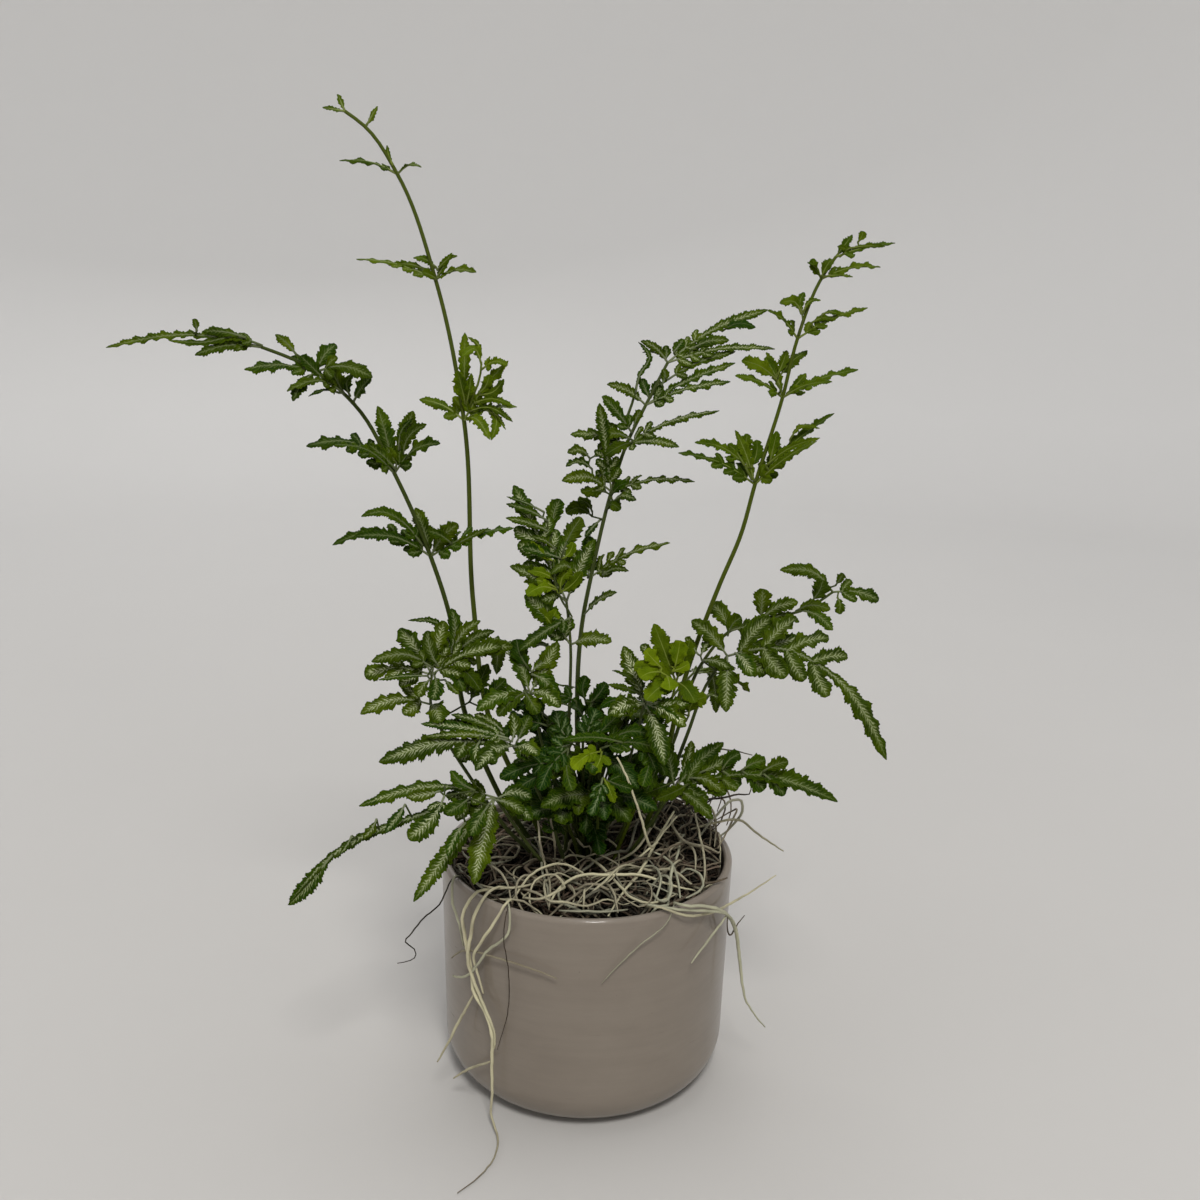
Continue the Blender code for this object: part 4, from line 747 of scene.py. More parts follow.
        sprig(3.6, 52, (56.5, -20, 149, 60.5, -21, 146.5, 64, -22, 142.5), look=(0.3, 0.08)),
        sprig(3.9, 52, (64.5, -22, 150, 69.5, -24, 147, 74, -26, 143), look=(0.3, 0.08)),
        sprig(3.6, 52, (73, -26, 150.5, 78, -28, 147, 82, -30, 142.5), look=(0.3, 0.08)),
        sprig(3.4, 52, (56.5, -21, 150, 59.5, -20, 154, 64, -19, 156.5), look=(0.2, 0.08)),
        sprig(3.3, 52, (64.5, -23, 150.5, 69.5, -22, 153.5, 74.5, -22, 155), look=(0.2, 0.08)),
        sprig(3.2, 52, (73, -27, 152, 78, -27, 155, 83, -28, 157), look=(0.2, 0.08)),
    )),
    "frond_inner_left": ((0.55, 0), (
        sprig(3.8, 60, (-24.5, -27, 192.5, -19, -29, 190.5, -15, -33, 186.5)),
        sprig(3.2, 62, (-24.5, -27, 193.5, -21, -25, 196, -16, -23, 197.5)),
        sprig(3.4, 60, (-27.5, -29, 186, -24.5, -33, 183, -21, -37, 179), look=(0.2, 0)),
        sprig(4, 68, (-26, -25, 194.5, -29.5, -23, 199.5, -31, -21, 205.5), look=(0.1, 0)),
        sprig(3.2, 62, (-22.5, -25, 195.5, -18.5, -23, 199, -14.5, -21, 201.5), look=(0, 0)),
        sprig(3.6, 58, (-25.5, -29, 186, -32, -33, 183, -37.5, -37, 177.5), look=(0.1, 0)),
    )),
    # Crown leaflets, most with young below zero: older, deeper green, darkened also as painted shade of the
    # crown's depths
    "fern_crown": ((0.15, -0.8), (
        stalk(0.7, (0, 0, 93, 6, -18, 128, 5.5, -44, 154.5), 0.08),
        sprig(2.8, 65, (5.5, -44, 154.5, 4, -50, 149.5, 1, -54, 142.5), 2, 4.8, look=(0.7, -0.8)),
        sprig(2.2, 62, (6, -44, 154.5, 8.5, -48, 151, 10.5, -50, 146.5), look=(0, 0.6)),
        sprig(2.9, 58, (6, -43, 153.5, 12, -47, 153, 17.5, -51, 153), 1, 5, look=(0.15, -0.35)),
        stalk(0.7, (0, 0, 93, 4, -14, 135, 4.5, -37, 164.5), 0.08),
        sprig(3.8, 55, (4.5, -37, 164.5, 14.5, -37, 167.5, 27.5, -39, 166), 2, 5.7, look=(0.15, -0.05)),
        sprig(3.4, 60, (6.5, -35, 165.5, 16.5, -35, 171.5, 25, -35, 170), 1, 5, look=(0.15, 0)),
        sprig(3.1, 62, (4.5, -38, 163.5, -0.5, -43, 164, -7, -49, 160.5), 2, 3.8, look=(0, 1)),
        sprig(2.9, 62, (5, -38, 163.5, 3.5, -45, 160.5, 1, -49, 158), 1, 5, look=(0, 0.9)),
        stalk(0.7, (0, 0, 93, -4, -16, 132, -8.5, -40, 166.5), 0.08),
        sprig(3.1, 60, (-8.5, -40, 165.5, -15, -47, 161, -19.5, -53, 152.5), 2, 5.7),
        sprig(3.1, 60, (-8.5, -40, 165.5, -9, -47, 159, -6.5, -53, 152.5), 2, 4.8, look=(0.15, -0.05)),
        sprig(3.6, 58, (-8, -39, 166.5, -15, -41, 165, -22.5, -45, 161.5), 1, 5, look=(0.5, -0.8)),
        sprig(3.8, 68, (-7, -37, 167, -12, -35, 172, -14, -33, 179), 2, 5.7, look=(0.5, -0.8)),
        sprig(3.9, 68, (-2, -35, 166.5, 0, -33, 173, 2.5, -31, 179.5), 2, 5.7, look=(0.45, -0.8)),
        sprig(3.8, 66, (0, -35, 166, 6, -33, 172, 11, -31, 176.5), 1, 5, look=(0.15, -0.35)),
        sprig(2.3, 50, (14.5, -37, 167, 2, -39, 170, -11, -43, 170), look=(0.15, 0.05)),
        sprig(3.6, 56, (-11, -43, 160.5, -23.5, -47, 160.5, -35.5, -51, 156.5), 2, 5.7),
        sprig(3.4, 56, (-13.5, -45, 159, -23.5, -49, 155, -32, -51, 149), 1, 5),
        sprig(3.1, 58, (-17.5, -31, 171.5, -26.5, -33, 174, -35.5, -37, 169), 2, 4.8),
        sprig(2.9, 60, (-17.5, -29, 174.5, -25, -29, 179.5, -33, -29, 179), 1, 5),
        stalk(0.7, (0, 0, 93, 20, -14, 130, 28, -33, 163.5), 0.08),
        sprig(3.3, 60, (27, -34, 165, 24.5, -41, 159.5, 21.5, -47, 152.5), 2, 4.8, look=(0.15, -0.05)),
        sprig(2.9, 60, (30, -31, 158.5, 26.5, -37, 153.5, 23.5, -41, 147.5), 1, 5, look=(0.15, 0.05)),
        sprig(3.3, 60, (21.5, -34, 165, 24.5, -39, 162.5, 27, -43, 158), 1, 5, look=(0.15, -0.35)),
        sprig(3.2, 66, (-13, -20, 178, -15, -20, 182.5, -18.5, -20, 186.5)),
        sprig(3, 66, (0.5, -12, 175.5, 4, -12, 180, 6.5, -12, 184.5)),
        sprig(3, 68, (-2, -14, 176.5, -3.5, -14, 182, -2, -14, 188)),
        sprig(2.9, 60, (-6, -17, 177.5, -13, -17, 180, -20, -19, 178), 1, 5),
        sprig(3.1, 50, (4, 10, 128, 0, 8, 134, -5, 4, 140), 2, 5.2, look=(0.2, -0.7)),
        sprig(3.1, 50, (-6, 8, 120, -1, 7, 127, 4, 4, 133), 2, 5.2, look=(0.2, -0.5)),
        sprig(3, 50, (9, 8, 126, 12, 6, 132, 13, 2, 139), 2, 4.8, look=(0.2, -0.6)),
    )),
}

# Layers of the bed: for each group of strands their count, level, arch, tones and radii.
# The deep layers get the darkest tones, partly the moss's own brown and partly painted shade low in the bed
MOSS_LAYERS = (
    ("moss_deep_shaded_strands", (
        (170, -2.8, 2.0, (0.0, 0.14), (0.4, 0.58)),
        (130, -0.8, 3.4, (0.02, 0.36), (0.38, 0.6)),
    )),
    ("moss_upper_strands", (
        (96, 1.2, 5.0, (0.12, 0.62), (0.3, 0.64)),
        (56, 2.4, 9.0, (0.3, 0.9), (0.32, 0.76)),
    )),
)


class Curve:
    """Smooth curve through its points, with the distance along the chords as parameter."""

    def __init__(self, points):
        self.points = np.array(points, float)
        steps = np.linalg.norm(np.diff(self.points, axis=0), axis=1)
        self.knots = np.concatenate(([0.0], np.cumsum(steps)))
        self.length = float(self.knots[-1])
        rates = np.diff(self.points, axis=0) / steps[:, None]
        slopes = np.empty_like(self.points)
        if len(rates) == 1:
            slopes[:] = rates[0]
        else:
            before = steps[:-1, None]
            after = steps[1:, None]
            slopes[1:-1] = (rates[:-1] * after + rates[1:] * before) / (before + after)
            slopes[0] = rates[0] * 1.5 - slopes[1] * 0.5
            slopes[-1] = rates[-1] * 1.5 - slopes[-2] * 0.5
        self.steps = steps
        self.slopes = slopes

    def at(self, distance):
        """Points at distances along the curve."""
        distance = np.clip(distance, 0.0, self.length)
        index = np.clip(np.searchsorted(self.knots, distance) - 1, 0, len(self.steps) - 1)
        step = self.steps[index][:, None]
        x = (distance - self.knots[index])[:, None] / step
        start = self.points[index] * (2 * x**3 - 3 * x**2 + 1)
        start += self.slopes[index] * step * (x**3 - 2 * x**2 + x)
        end = self.points[index + 1] * (3 * x**2 - 2 * x**3)
        end += self.slopes[index + 1] * step * (x**3 - x**2)
        return start + end

    def heading(self, distance):
        """Unit directions at distances along the curve."""
        reach = self.length * 0.01
        return unit(self.at(distance + reach) - self.at(distance - reach))


def unit(vectors):
    """Vectors of length one."""
    return vectors / np.maximum(np.linalg.norm(vectors, axis=-1, keepdims=True), 1e-9)


# Order of a face's corners that turns it to look the other way
OTHER_WAY = [0, 3, 2, 1]

# Direction from which the first ring of a tube takes its start, aslant to all three axes
OBLIQUE = (0.3, 0.5, 0.8)


def around(sides):
    """Angles of evenly spaced directions round an axis."""
    return np.linspace(0.0, 2.0 * math.pi, sides, endpoint=False)


def bands(rings, sides, closed=False):
    """Faces between rings of points that follow each other, and back to the first where closed."""
    row = np.arange(sides)
    after = (row + 1) % sides
    quads = []
    for index in range(rings if closed else rings - 1):
        low = index * sides
        high = (index + 1) % rings * sides
        quads.append(np.stack((low + row, low + after, high + after, high + row), axis=1))
    return np.concatenate(quads)


def capped(rings, sides):
    """Faces of a closed tube: the bands between its rings, and a fan round each of its two end points,
    which come after the rings."""
    row = np.arange(sides)
    after = (row + 1) % sides
    last = (rings - 1) * sides
    foot = np.full(sides, rings * sides)
    low_fan = np.stack((foot, after, row, row), axis=1)
    high_fan = np.stack((foot + 1, last + row, last + after, last + after), axis=1)
    return np.concatenate((bands(rings, sides), low_fan, high_fan))


class Parts:
    """Points, faces and point attributes of one piece that is being made."""

    def __init__(self):
        self.points = []
        self.quads = []
        self.slots = []
        self.place = []
        self.tint = []
        self.count = 0

    def add(self, points, quads, place, tint, slot=0):
        """Add one closed body. place and tint are three numbers for each point."""
        self.points.append(points)
        self.quads.append(np.asarray(quads) + self.count)
        self.slots.append(np.full(len(quads), slot))
        self.place.append(place)
        self.tint.append(tint)
        self.count += len(points)

    def piece(self, name, materials, slot_name, *nodes):
        """Object that rides on the body and stands for the CAD nodes."""
        quads = np.concatenate(self.quads)
        faces = [tuple(dict.fromkeys(face)) for face in quads.tolist()]
        mesh = bpy.data.meshes.new(name)
        mesh.from_pydata((np.concatenate(self.points) * MM).tolist(), [], faces)
        for material in materials:
            mesh.materials.append(material)
        mesh.polygons.foreach_set("material_index", np.concatenate(self.slots).astype(np.int32))
        mesh.polygons.foreach_set("use_smooth", np.ones(len(faces), bool))
        for label, values in (("place", self.place), ("tint", self.tint)):
            attribute = mesh.attributes.new(label, "FLOAT_VECTOR", "POINT")
            attribute.data.foreach_set("vector", np.concatenate(values).astype(np.float32).ravel())
        mesh.update()
        thing = bpy.data.objects.new(name, mesh)
        bpy.context.scene.collection.objects.link(thing)
        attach(thing, "root")
        if nodes:
            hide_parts(*nodes)


def sweep(parts, points, radii, sides, tint, slot=0):
    """Closed round tube along points, with a small cap at each end."""
    path = np.asarray(points, float)
    count = len(path)
    headings = np.empty_like(path)
    headings[1:-1] = path[2:] - path[:-2]
    headings[0] = path[1] - path[0]
    headings[-1] = path[-1] - path[-2]
    headings = unit(headings)
    across = np.empty_like(path)
    side = np.cross(headings[0], OBLIQUE)
    for index, heading in enumerate(headings):
        side = side - heading * np.dot(side, heading)
        side = side / max(np.linalg.norm(side), 1e-9)
        across[index] = side
    up = np.cross(headings, across)
    angles = around(sides)
    radii = np.asarray(radii, float)
    ring = across[:, None] * np.cos(angles)[None, :, None] + up[:, None] * np.sin(angles)[None, :, None]
    body = (path[:, None] + ring * radii[:, None, None]).reshape(-1, 3)
    ends = np.array([path[0] - headings[0] * radii[0] * 0.4, path[-1] + headings[-1] * radii[-1] * 0.4])
    steps = np.linalg.norm(np.diff(path, axis=0), axis=1)
    along = np.repeat(np.concatenate(([0.0], np.cumsum(steps))), sides)
    place = np.zeros((len(body) + 2, 3))
    place[:-2, 0] = along
    place[-1, 0] = along[-1]
    place[:-2, 1] = np.tile(angles, count)
    colours = np.tile(np.asarray(tint, float), (len(place), 1))
    parts.add(np.concatenate((body, ends)), capped(count, sides), place, colours, slot)


def margins(half, share, distance, teeth, scallop, draw):
    """Half width, forward reach and lift of the left and right margin, with teeth on rounded lobes.
    scallop is the depth of the rounded lobes as a share of the half width."""
    size = np.array([draw.uniform(0.5, 1.25) for _ in range(teeth + 1)])
    tooth = np.minimum((share * teeth).astype(int), teeth)
    fade = np.clip(np.minimum(share * 9.0, (1.0 - share) * 9.0), 0.0, 1.0)
    reach = (0.12 * half + 0.27) * size[tooth] * fade
    kind = np.arange(len(share)) % 2
    pitch = SCALLOP_PITCH * draw.uniform(0.8, 1.25) * (0.75 + 0.05 * float(half.max()))
    ripple = draw.uniform(0.16, 0.4)
    deep = scallop * np.clip(1.5 - share, 0.5, 1.2)
    wide, forward, lift = np.empty((3, len(share), 2))
    for side, heights in enumerate((TOOTH_LEFT, TOOTH_RIGHT)):
        height = np.array(heights)[kind]
        phase = distance * math.pi / pitch + draw.uniform(0.0, math.pi)
        lobe = np.abs(np.sin(phase)) ** 0.7
        wide[:, side] = half * (1.0 - deep + 1.25 * deep * lobe) + reach * (height - 0.5)
        forward[:, side] = reach * height * 0.5 + half * deep * lobe * 0.35
        waves = np.sin(phase + draw.uniform(-0.6, 0.6)) + 0.5 * np.sin(0.45 * phase + draw.uniform(0.0, 6.3))
        lift[:, side] = ripple * half * waves * fade + 0.3 * reach * (height - 0.5) * draw.choice((-1.0, 1.0))
    return np.maximum(wide, 0.12), forward, lift


def sheet(rows, columns):
    """Faces of a thin closed sheet: its upper side, its lower side and the narrow border between them."""
    grid = np.arange(rows * columns).reshape(rows, columns)
    corners = (grid[:-1, :-1], grid[:-1, 1:], grid[1:, 1:], grid[1:, :-1])
    upper = np.stack([corner.ravel() for corner in corners], axis=1)
    loop = np.concatenate((grid[0, :-1], grid[:-1, -1], grid[-1, :0:-1], grid[:0:-1, 0]))
    following = np.roll(loop, -1)
    border = np.stack((following, loop, loop + grid.size, following + grid.size), axis=1)
    return np.concatenate((upper, upper[:, ::-1] + grid.size, border))


def blade(parts, curve, start, end, half_at, facing, tint, draw, scallop):
    """Thin closed blade along part of a curve, with a scalloped and toothed, rippled margin.
    half_at gives the half width at each distance, and facing is the side that looks up."""
    length = end - start
    teeth = max(4, round(length / (TOOTH_PITCH * draw.uniform(0.88, 1.15))))
    share = np.array([(tooth + offset) / teeth for tooth in range(teeth) for offset in TOOTH_ROWS] + [1.0])
    share[-2] = 1.0 - 0.25 / teeth
    distance = start + length * share
    heading = curve.heading(distance)
    normal = unit(facing - heading * (heading @ facing)[:, None])
    out = np.cross(heading, normal)
    turn = math.radians(draw.uniform(-34.0, 34.0)) * (share - 0.35) + math.radians(draw.uniform(-9.0, 9.0))
    up = normal * np.cos(turn)[:, None] + out * np.sin(turn)[:, None]
    out = np.cross(heading, up)
    wide, forward, lift = margins(half_at(distance), share, distance - start, teeth, scallop, draw)
    fold = math.tan(math.radians(draw.uniform(4.0, 22.0)))
    cup = draw.uniform(-0.4, 0.1)
    edge = np.abs(ACROSS)[None, :]
    left = ACROSS[None, :] < 0.0
    width = np.where(left, wide[:, :1], wide[:, 1:])
    offset = width * ACROSS[None, :]
    ahead = np.where(left, forward[:, :1], forward[:, 1:]) * edge**3
    rise = np.where(left, lift[:, :1], lift[:, 1:]) * edge**1.6 + width * (fold * edge + cup * edge**2)
    middle = curve.at(distance)[:, None] + out[:, None] * offset[:, :, None]
    middle = middle + heading[:, None] * ahead[:, :, None] + up[:, None] * rise[:, :, None]
    thick = up[:, None] * (BLADE_THICKNESS * 0.5 * (1.0 - 0.45 * edge**2))[:, :, None]
    points = np.concatenate(((middle + thick).reshape(-1, 3), (middle - thick).reshape(-1, 3)))
    columns = len(ACROSS)
    along = np.repeat(distance - start, columns)
    place = np.stack((along, offset.ravel(), np.tile(ACROSS, len(share))), axis=1)
    upper = np.tile(np.asarray(tint, float), (len(place), 1))
    upper[:, 0] *= np.repeat(np.clip((1.0 - share) * 7.0, 0.0, 1.0), columns)
    lower = upper * (LOWER_SILVER, 1.0, 1.0)
    parts.add(points, sheet(len(share), columns), np.concatenate((place, place)),
              np.concatenate((upper, lower)), LEAF)


def profile(share, long):
    """Half width of a blade at a share of its length. long goes from 0, a short blade that is widest
    near its rounded end, to 1, a strap that is widest in the middle."""
    share = np.clip(share, 0.0, 1.0)
    short_shape = share**0.85 * (1.0 - share) ** 0.4 / 0.447
    strap_shape = share**0.62 * (1.0 - share) ** 0.68 / 0.405
    return short_shape + (strap_shape - short_shape) * long


def lobe_profile(share):
    """Half width of a rounded side lobe at a share of its length."""
    share = np.clip(share, 0.0, 1.0)
    return np.sin(math.pi * (0.12 + 0.87 * share)) ** 0.5 * (0.72 + 0.36 * share)


def side_lobes(parts, curve, facing, pairs, side, first, spacing, tint, draw):
    """Pairs of side lobes along the midrib of a leaflet, the longest near its foot."""
    for pair in range(pairs):
        low = np.array([first + pair * spacing + 0.25 * spacing])
        base = curve.at(low)[0]
        heading = curve.heading(low)[0]
        normal = unit(facing - heading * np.dot(facing, heading))
        out = np.cross(heading, normal)
        for hand in (-1.0, 1.0):
            reach = side * (1.12 - 0.3 * pair / pairs) * draw.uniform(0.88, 1.08)
            angle = LOBE_ANGLE + math.radians(draw.uniform(-7.0, 7.0))
            direction = heading * math.cos(angle) + out * (hand * math.sin(angle))
            tip = base + direction * reach + normal * draw.uniform(-0.09, 0.05) * reach
            middle = (base + tip) * 0.5 + (out * hand * 0.07 + normal * 0.05) * reach
            lobe = Curve((base, middle, tip))
            broad = min(0.25 * reach + 0.55, 0.75 * spacing + 0.3)

            def lobe_half(distance, lobe=lobe, broad=broad):
                """Half width of the lobe, which keeps some width at its foot."""
                return np.maximum(broad * lobe_profile(distance / lobe.length), 0.12)

            lobe_facing = unit(normal * math.cos(0.2) + direction * draw.uniform(-0.2, 0.2))
            blade(parts, lobe, 0.0, lobe.length, lobe_half, lobe_facing, tint, draw, LOBE_SCALLOP)


def leaflet(parts, start, shape, tint, draw):
    """Leaflet with its midrib, side lobes and end blade. Returns the path of the midrib."""
    points = [start, *shape["via"], shape["tip"]]
    if not shape["via"]:
        middle = (np.array(start) + np.array(shape["tip"])) * 0.5
        middle[2] += shape["arch"]
        points.insert(1, middle)
    curve = Curve(points)
    length = curve.length
    face = math.radians(shape["face"])
    facing = np.array((0.0, -math.sin(face), math.cos(face)))
    first = min(3.5, 0.12 * length)
    pairs = shape["pairs"]
    side = shape["side"]
    spacing = min(0.62 * side + 0.8, (0.62 * length - first) / pairs) if pairs else 0.0
    blade_start = first + pairs * spacing
    blade_length = length - blade_start
    slim = SLIM if start[2] > SLIM_ABOVE else 1.0
    width = shape["width"] * slim * draw.uniform(0.86, 1.02)
    wing = WING if pairs else 0.0
    long = min(1.0, max(0.3, (blade_length / width - 1.5) / 4.0))

    def half_at(distance):
        """Half width of the end blade, with a narrow wing between the lobes."""
        body = width * profile((distance - blade_start) / blade_length, long)
        wing_end = blade_start + 0.4 * blade_length
        low = wing * np.clip((distance - first) / 2.5, 0.0, 1.0) * (distance < wing_end)
        return np.maximum(np.maximum(body, low), 0.14)

    own = (tint[0] * draw.uniform(0.8, 1.15), tint[1], draw.uniform(-1.0, 1.0))
    scallop = draw.uniform(0.24, 0.42)
    blade(parts, curve, first * 0.5 if pairs else 0.8, length, half_at, facing, own, draw, scallop)
    rib = np.linspace(0.0, length * 0.93, max(5, round(length / 2.4)))
    rib_tint = (0.25 + 1.6 * own[0], min(1.0, own[1] * 1.6), own[2])
    path = curve.at(rib)
    sweep(parts, path, np.linspace(0.5, 0.15, len(rib)), PETIOLE_SIDES, rib_tint, STEM)
    side_lobes(parts, curve, facing, pairs, side * slim, first, spacing, own, draw)
    return path


def stem(parts, points, radius, taper, least, sides, tint):
    """Round stem through its points, which loses the taper of its radius. Returns its path."""
    curve = Curve(points)
    distances = np.linspace(0.0, curve.length, max(least, round(curve.length / STEM_STEP)))
    path = curve.at(distances)
    sweep(parts, path, radius * (1.0 - taper * distances / curve.length), sides, tint, STEM)
    return path


def frond_stem(parts, nodes, radius, tint):
    """Stem through the nodes of a frond. Returns its path."""
    return stem(parts, [each["point"] for each in nodes], radius, 0.5, 6, STEM_SIDES, tint)


def sprigs(parts, table, draw, paths):
    """Smaller leaflets and stalks of a frond from their table, each joined to the nearest of the paths
    of stems and midribs that are there before it."""
    usual, rows = table
    anchors = np.concatenate(paths)
    for row in rows:
        silver, young = row["look"] or usual
        tint = (0.2, young, 0.0)
        points = np.array(row["path"], float).reshape(-1, 3)
        gaps = np.linalg.norm(anchors - points[0], axis=1)
        joint = anchors[gaps.argmin()]
        apart = gaps.min() > JOINT_GAP
        if "radius" in row:
            if apart:
                points = np.concatenate((joint[None, :], points))
            path = stem(parts, points, row["radius"], 0.35, 4, STALK_SIDES, tint)
        else:
            start = points[0]
            if apart:
                petiole = (joint, joint * 0.5 + start * 0.5, start)
                sweep(parts, petiole, PETIOLE_RADII, PETIOLE_SIDES, tint, STEM)
            via = [tuple(point) for point in points[1:-1]]
            shape = leaf(tuple(points[-1]), row["width"], row["pairs"], row["side"], row["face"], via=via)
            path = leaflet(parts, tuple(start), shape, (silver, young), draw)
        anchors = np.concatenate((anchors, path))


def crown_fill(parts, draw):
    """Short leaflets on thin stalks all round the crown, which make it dense."""
    for index in range(CROWN_LEAFLETS):
        angle = index * GOLDEN_ANGLE + draw.uniform(-0.4, 0.4)
        out = np.array((math.cos(angle), math.sin(angle), 0.0))
        rise = draw.uniform(0.0, 1.0)
        base = np.array((0.0, CROWN_Y - 5.0, FILL_LOW + FILL_RISE * rise)) + out * draw.uniform(*FILL_OUT)
        slope = math.radians(draw.uniform(-25.0, 25.0) + 30.0 * rise)
        length = draw.uniform(*FILL_LENGTHS)
        tip = base + (out * math.cos(slope) + np.array((0.0, 0.0, math.sin(slope)))) * length
        tip += np.array((draw.uniform(-5.0, 5.0), draw.uniform(-5.0, 5.0), 0.0))
        middle = (base + tip) * 0.5 + np.array((0.0, 0.0, draw.uniform(1.0, 3.5)))
        face = 50.0 * max(-1.0, min(1.0, -1.6 * math.sin(angle)))
        foot = np.array((out[0] * 2.5, CROWN_Y + out[1] * 2.5, MIX_TOP + 6.0))
        bend = foot * 0.5 + base * 0.5 - out * 3.0
        look = (draw.choice(FILL_SILVER), draw.choice(FILL_YOUNG))
        width = draw.uniform(*FILL_WIDTHS)
        side = draw.uniform(*FILL_SIDES)
        rows = (stalk(0.55, np.concatenate((foot, bend, base)), 0.1),
                sprig(width, face, np.concatenate((base, middle, tip)), FILL_PAIRS, side))
        sprigs(parts, (look, rows), draw, [foot[None, :]])


def make_frond(shape, materials):
    """Stem of a frond with its leaflets."""
    name = shape["name"]
    parts = Parts()
    draw = random.Random(name)
    silver, young = LOOKS[name]
    paths = [frond_stem(parts, shape["nodes"], shape["radius"], (0.3 * silver, 0.5 * young, 0.0))]
    for index, each in enumerate(shape["nodes"]):
        look = (silver, max(young, NODE_YOUNG.get((name, index), 0.0)))
        for item in each["leaves"]:
            paths.append(leaflet(parts, each["point"], item, look, draw))
    if name in SPRIGS:
        sprigs(parts, SPRIGS[name], draw, paths)
    parts.piece(name + "_foliage", materials, "fern_green", name)


def make_crown(materials):
    """Rhizome with its short fronds, and the piece that fills the crown."""
    parts = Parts()
    draw = random.Random("fern_crown")
    silver, young = LOOKS["fern_crown"]
    paths = []
    for index, inner in enumerate(INNER_STEMS):
        angle = 2.0 * math.pi * index / len(INNER_STEMS)
        start = node(INNER_STEM_RING * math.cos(angle), INNER_STEM_RING * math.sin(angle), MIX_TOP)
        paths.append(frond_stem(parts, (start, *inner), 1.0, (0.1, 0.1, 0.0)))
        for each in inner:
            for item in each["leaves"]:
                # Young mostly below zero: older, deeper green, darkened also as painted shade of the crown's
                # depths
                look = (silver, young + draw.uniform(-0.9, 0.3))
                paths.append(leaflet(parts, each["point"], item, look, draw))
    heights, radii = zip(*RHIZOME)
    sweep(parts, [(0.0, 0.0, height) for height in heights], radii, 16, (0.0, 0.0, -1.0), STEM)
    sprigs(parts, SPRIGS["fern_crown"], draw, paths)
    parts.piece("fern_crown_foliage", materials, "fern_green", "fern_crown")
    parts = Parts()
    crown_fill(parts, draw)
    parts.piece("fern_crown_inner_foliage", materials, "fern_green")


def wall_radius(height):
    """Outer radius of the pot wall."""
    share = (height - POT_FOOT_ROUNDING) / (POT_HEIGHT - POT_FOOT_ROUNDING)
    return POT_FOOT_WALL_RADIUS + (POT_RIM_RADIUS - POT_FOOT_WALL_RADIUS) * share


def inner_radius(height):
    """Inner radius of the pot wall."""
    return wall_radius(max(height, POT_FOOT_ROUNDING)) - POT_WALL


def arc(centre, radius, start, end, steps):
    """Points of an arc in the profile plane, angles in degrees."""
    angles = np.radians(np.linspace(start, end, steps + 1))
    return [(centre[0] + radius * math.cos(a), centre[1] + radius * math.sin(a)) for a in angles]


def level_rings(outline, sides):
    """Level rings of points round the Z axis, one for each radius and height of an outline."""
    angles = around(sides)
    return [np.stack((radius * np.cos(angles), radius * np.sin(angles), np.full(sides, height)), axis=1)
            for radius, height in outline]


def turned(parts, rows, first, last):
    """Closed body from rings that run from axis to axis, between points at two heights on the axis."""
    ends = np.array(((0.0, 0.0, first), (0.0, 0.0, last)))
    points = np.concatenate((*rows, ends))
    zeros = np.zeros((len(points), 3))
    parts.add(points, capped(len(rows), len(rows[0])), zeros, zeros)


def make_pot(material):
    """Fine turned pot with rounded foot edge and rim."""
    rim = POT_WALL / 2.0
    foot = POT_FOOT_ROUNDING
    low = POT_FLOOR + POT_INNER_ROUNDING
    outline = [(POT_FLOOR_RING, FOOT_RECESS), (FOOT_RING_INNER, FOOT_RECESS), (FOOT_RING_OUTER, 0.0)]
    outline += arc((POT_FOOT_WALL_RADIUS - foot, foot), foot, -90.0, 0.0, 16)
    outline += [(wall_radius(height), height) for height in np.linspace(foot, POT_HEIGHT - rim, 14)[1:-1]]
    outline += arc((POT_RIM_RADIUS - rim, POT_HEIGHT - rim), rim, 0.0, 180.0, 12)
    outline += [(inner_radius(height), height) for height in np.linspace(POT_HEIGHT - rim, low, 12)[1:-1]]
    outline += arc((inner_radius(low) - POT_INNER_ROUNDING, low), POT_INNER_ROUNDING, 0.0, -90.0, 6)
    outline += [(POT_FLOOR_RING, POT_FLOOR)]
    parts = Parts()
    turned(parts, level_rings(outline, POT_SIDES), FOOT_RECESS, POT_FLOOR)
    parts.piece("glazed_pot", [material], "taupe_glaze", "pot")


def lumps(x, y, scale):
    """Soft random heights between -1 and 1."""
    return (np.sin(x * scale + 1.7 * np.sin(y * scale * 0.8 + 1.0)) * np.cos(y * scale * 1.1 - 0.6)
            + 0.6 * np.sin(x * scale * 2.3 - y * scale * 1.9 + 0.5)) / 1.6


def make_mix(material):
    """Potting mix with a lumpy top."""
    top_radius = inner_radius(MIX_TOP) - 0.6
    low = POT_FLOOR + 0.3
    bevel_radius = MIX_BASE_RADIUS + MIX_BEVEL
    side = [(MIX_BASE_RING, low), (MIX_BASE_RADIUS, low), (bevel_radius, low + MIX_BEVEL),
            (top_radius, MIX_TOP - 3.0)]
    top_outline = [(radius, MIX_TOP) for radius in np.linspace(top_radius - 0.4, 0.8, 44)]
    top = level_rings(top_outline, MIX_SIDES)
    for ring in top:
        ring[:, 2] += 0.9 * lumps(ring[:, 0], ring[:, 1], 0.55) + 0.5 * lumps(ring[:, 1], ring[:, 0], 1.7)
    parts = Parts()
    turned(parts, level_rings(side, MIX_SIDES) + top, low, MIX_TOP)
    parts.piece("potting_mix_body", [material], "potting_mix", "potting_mix")


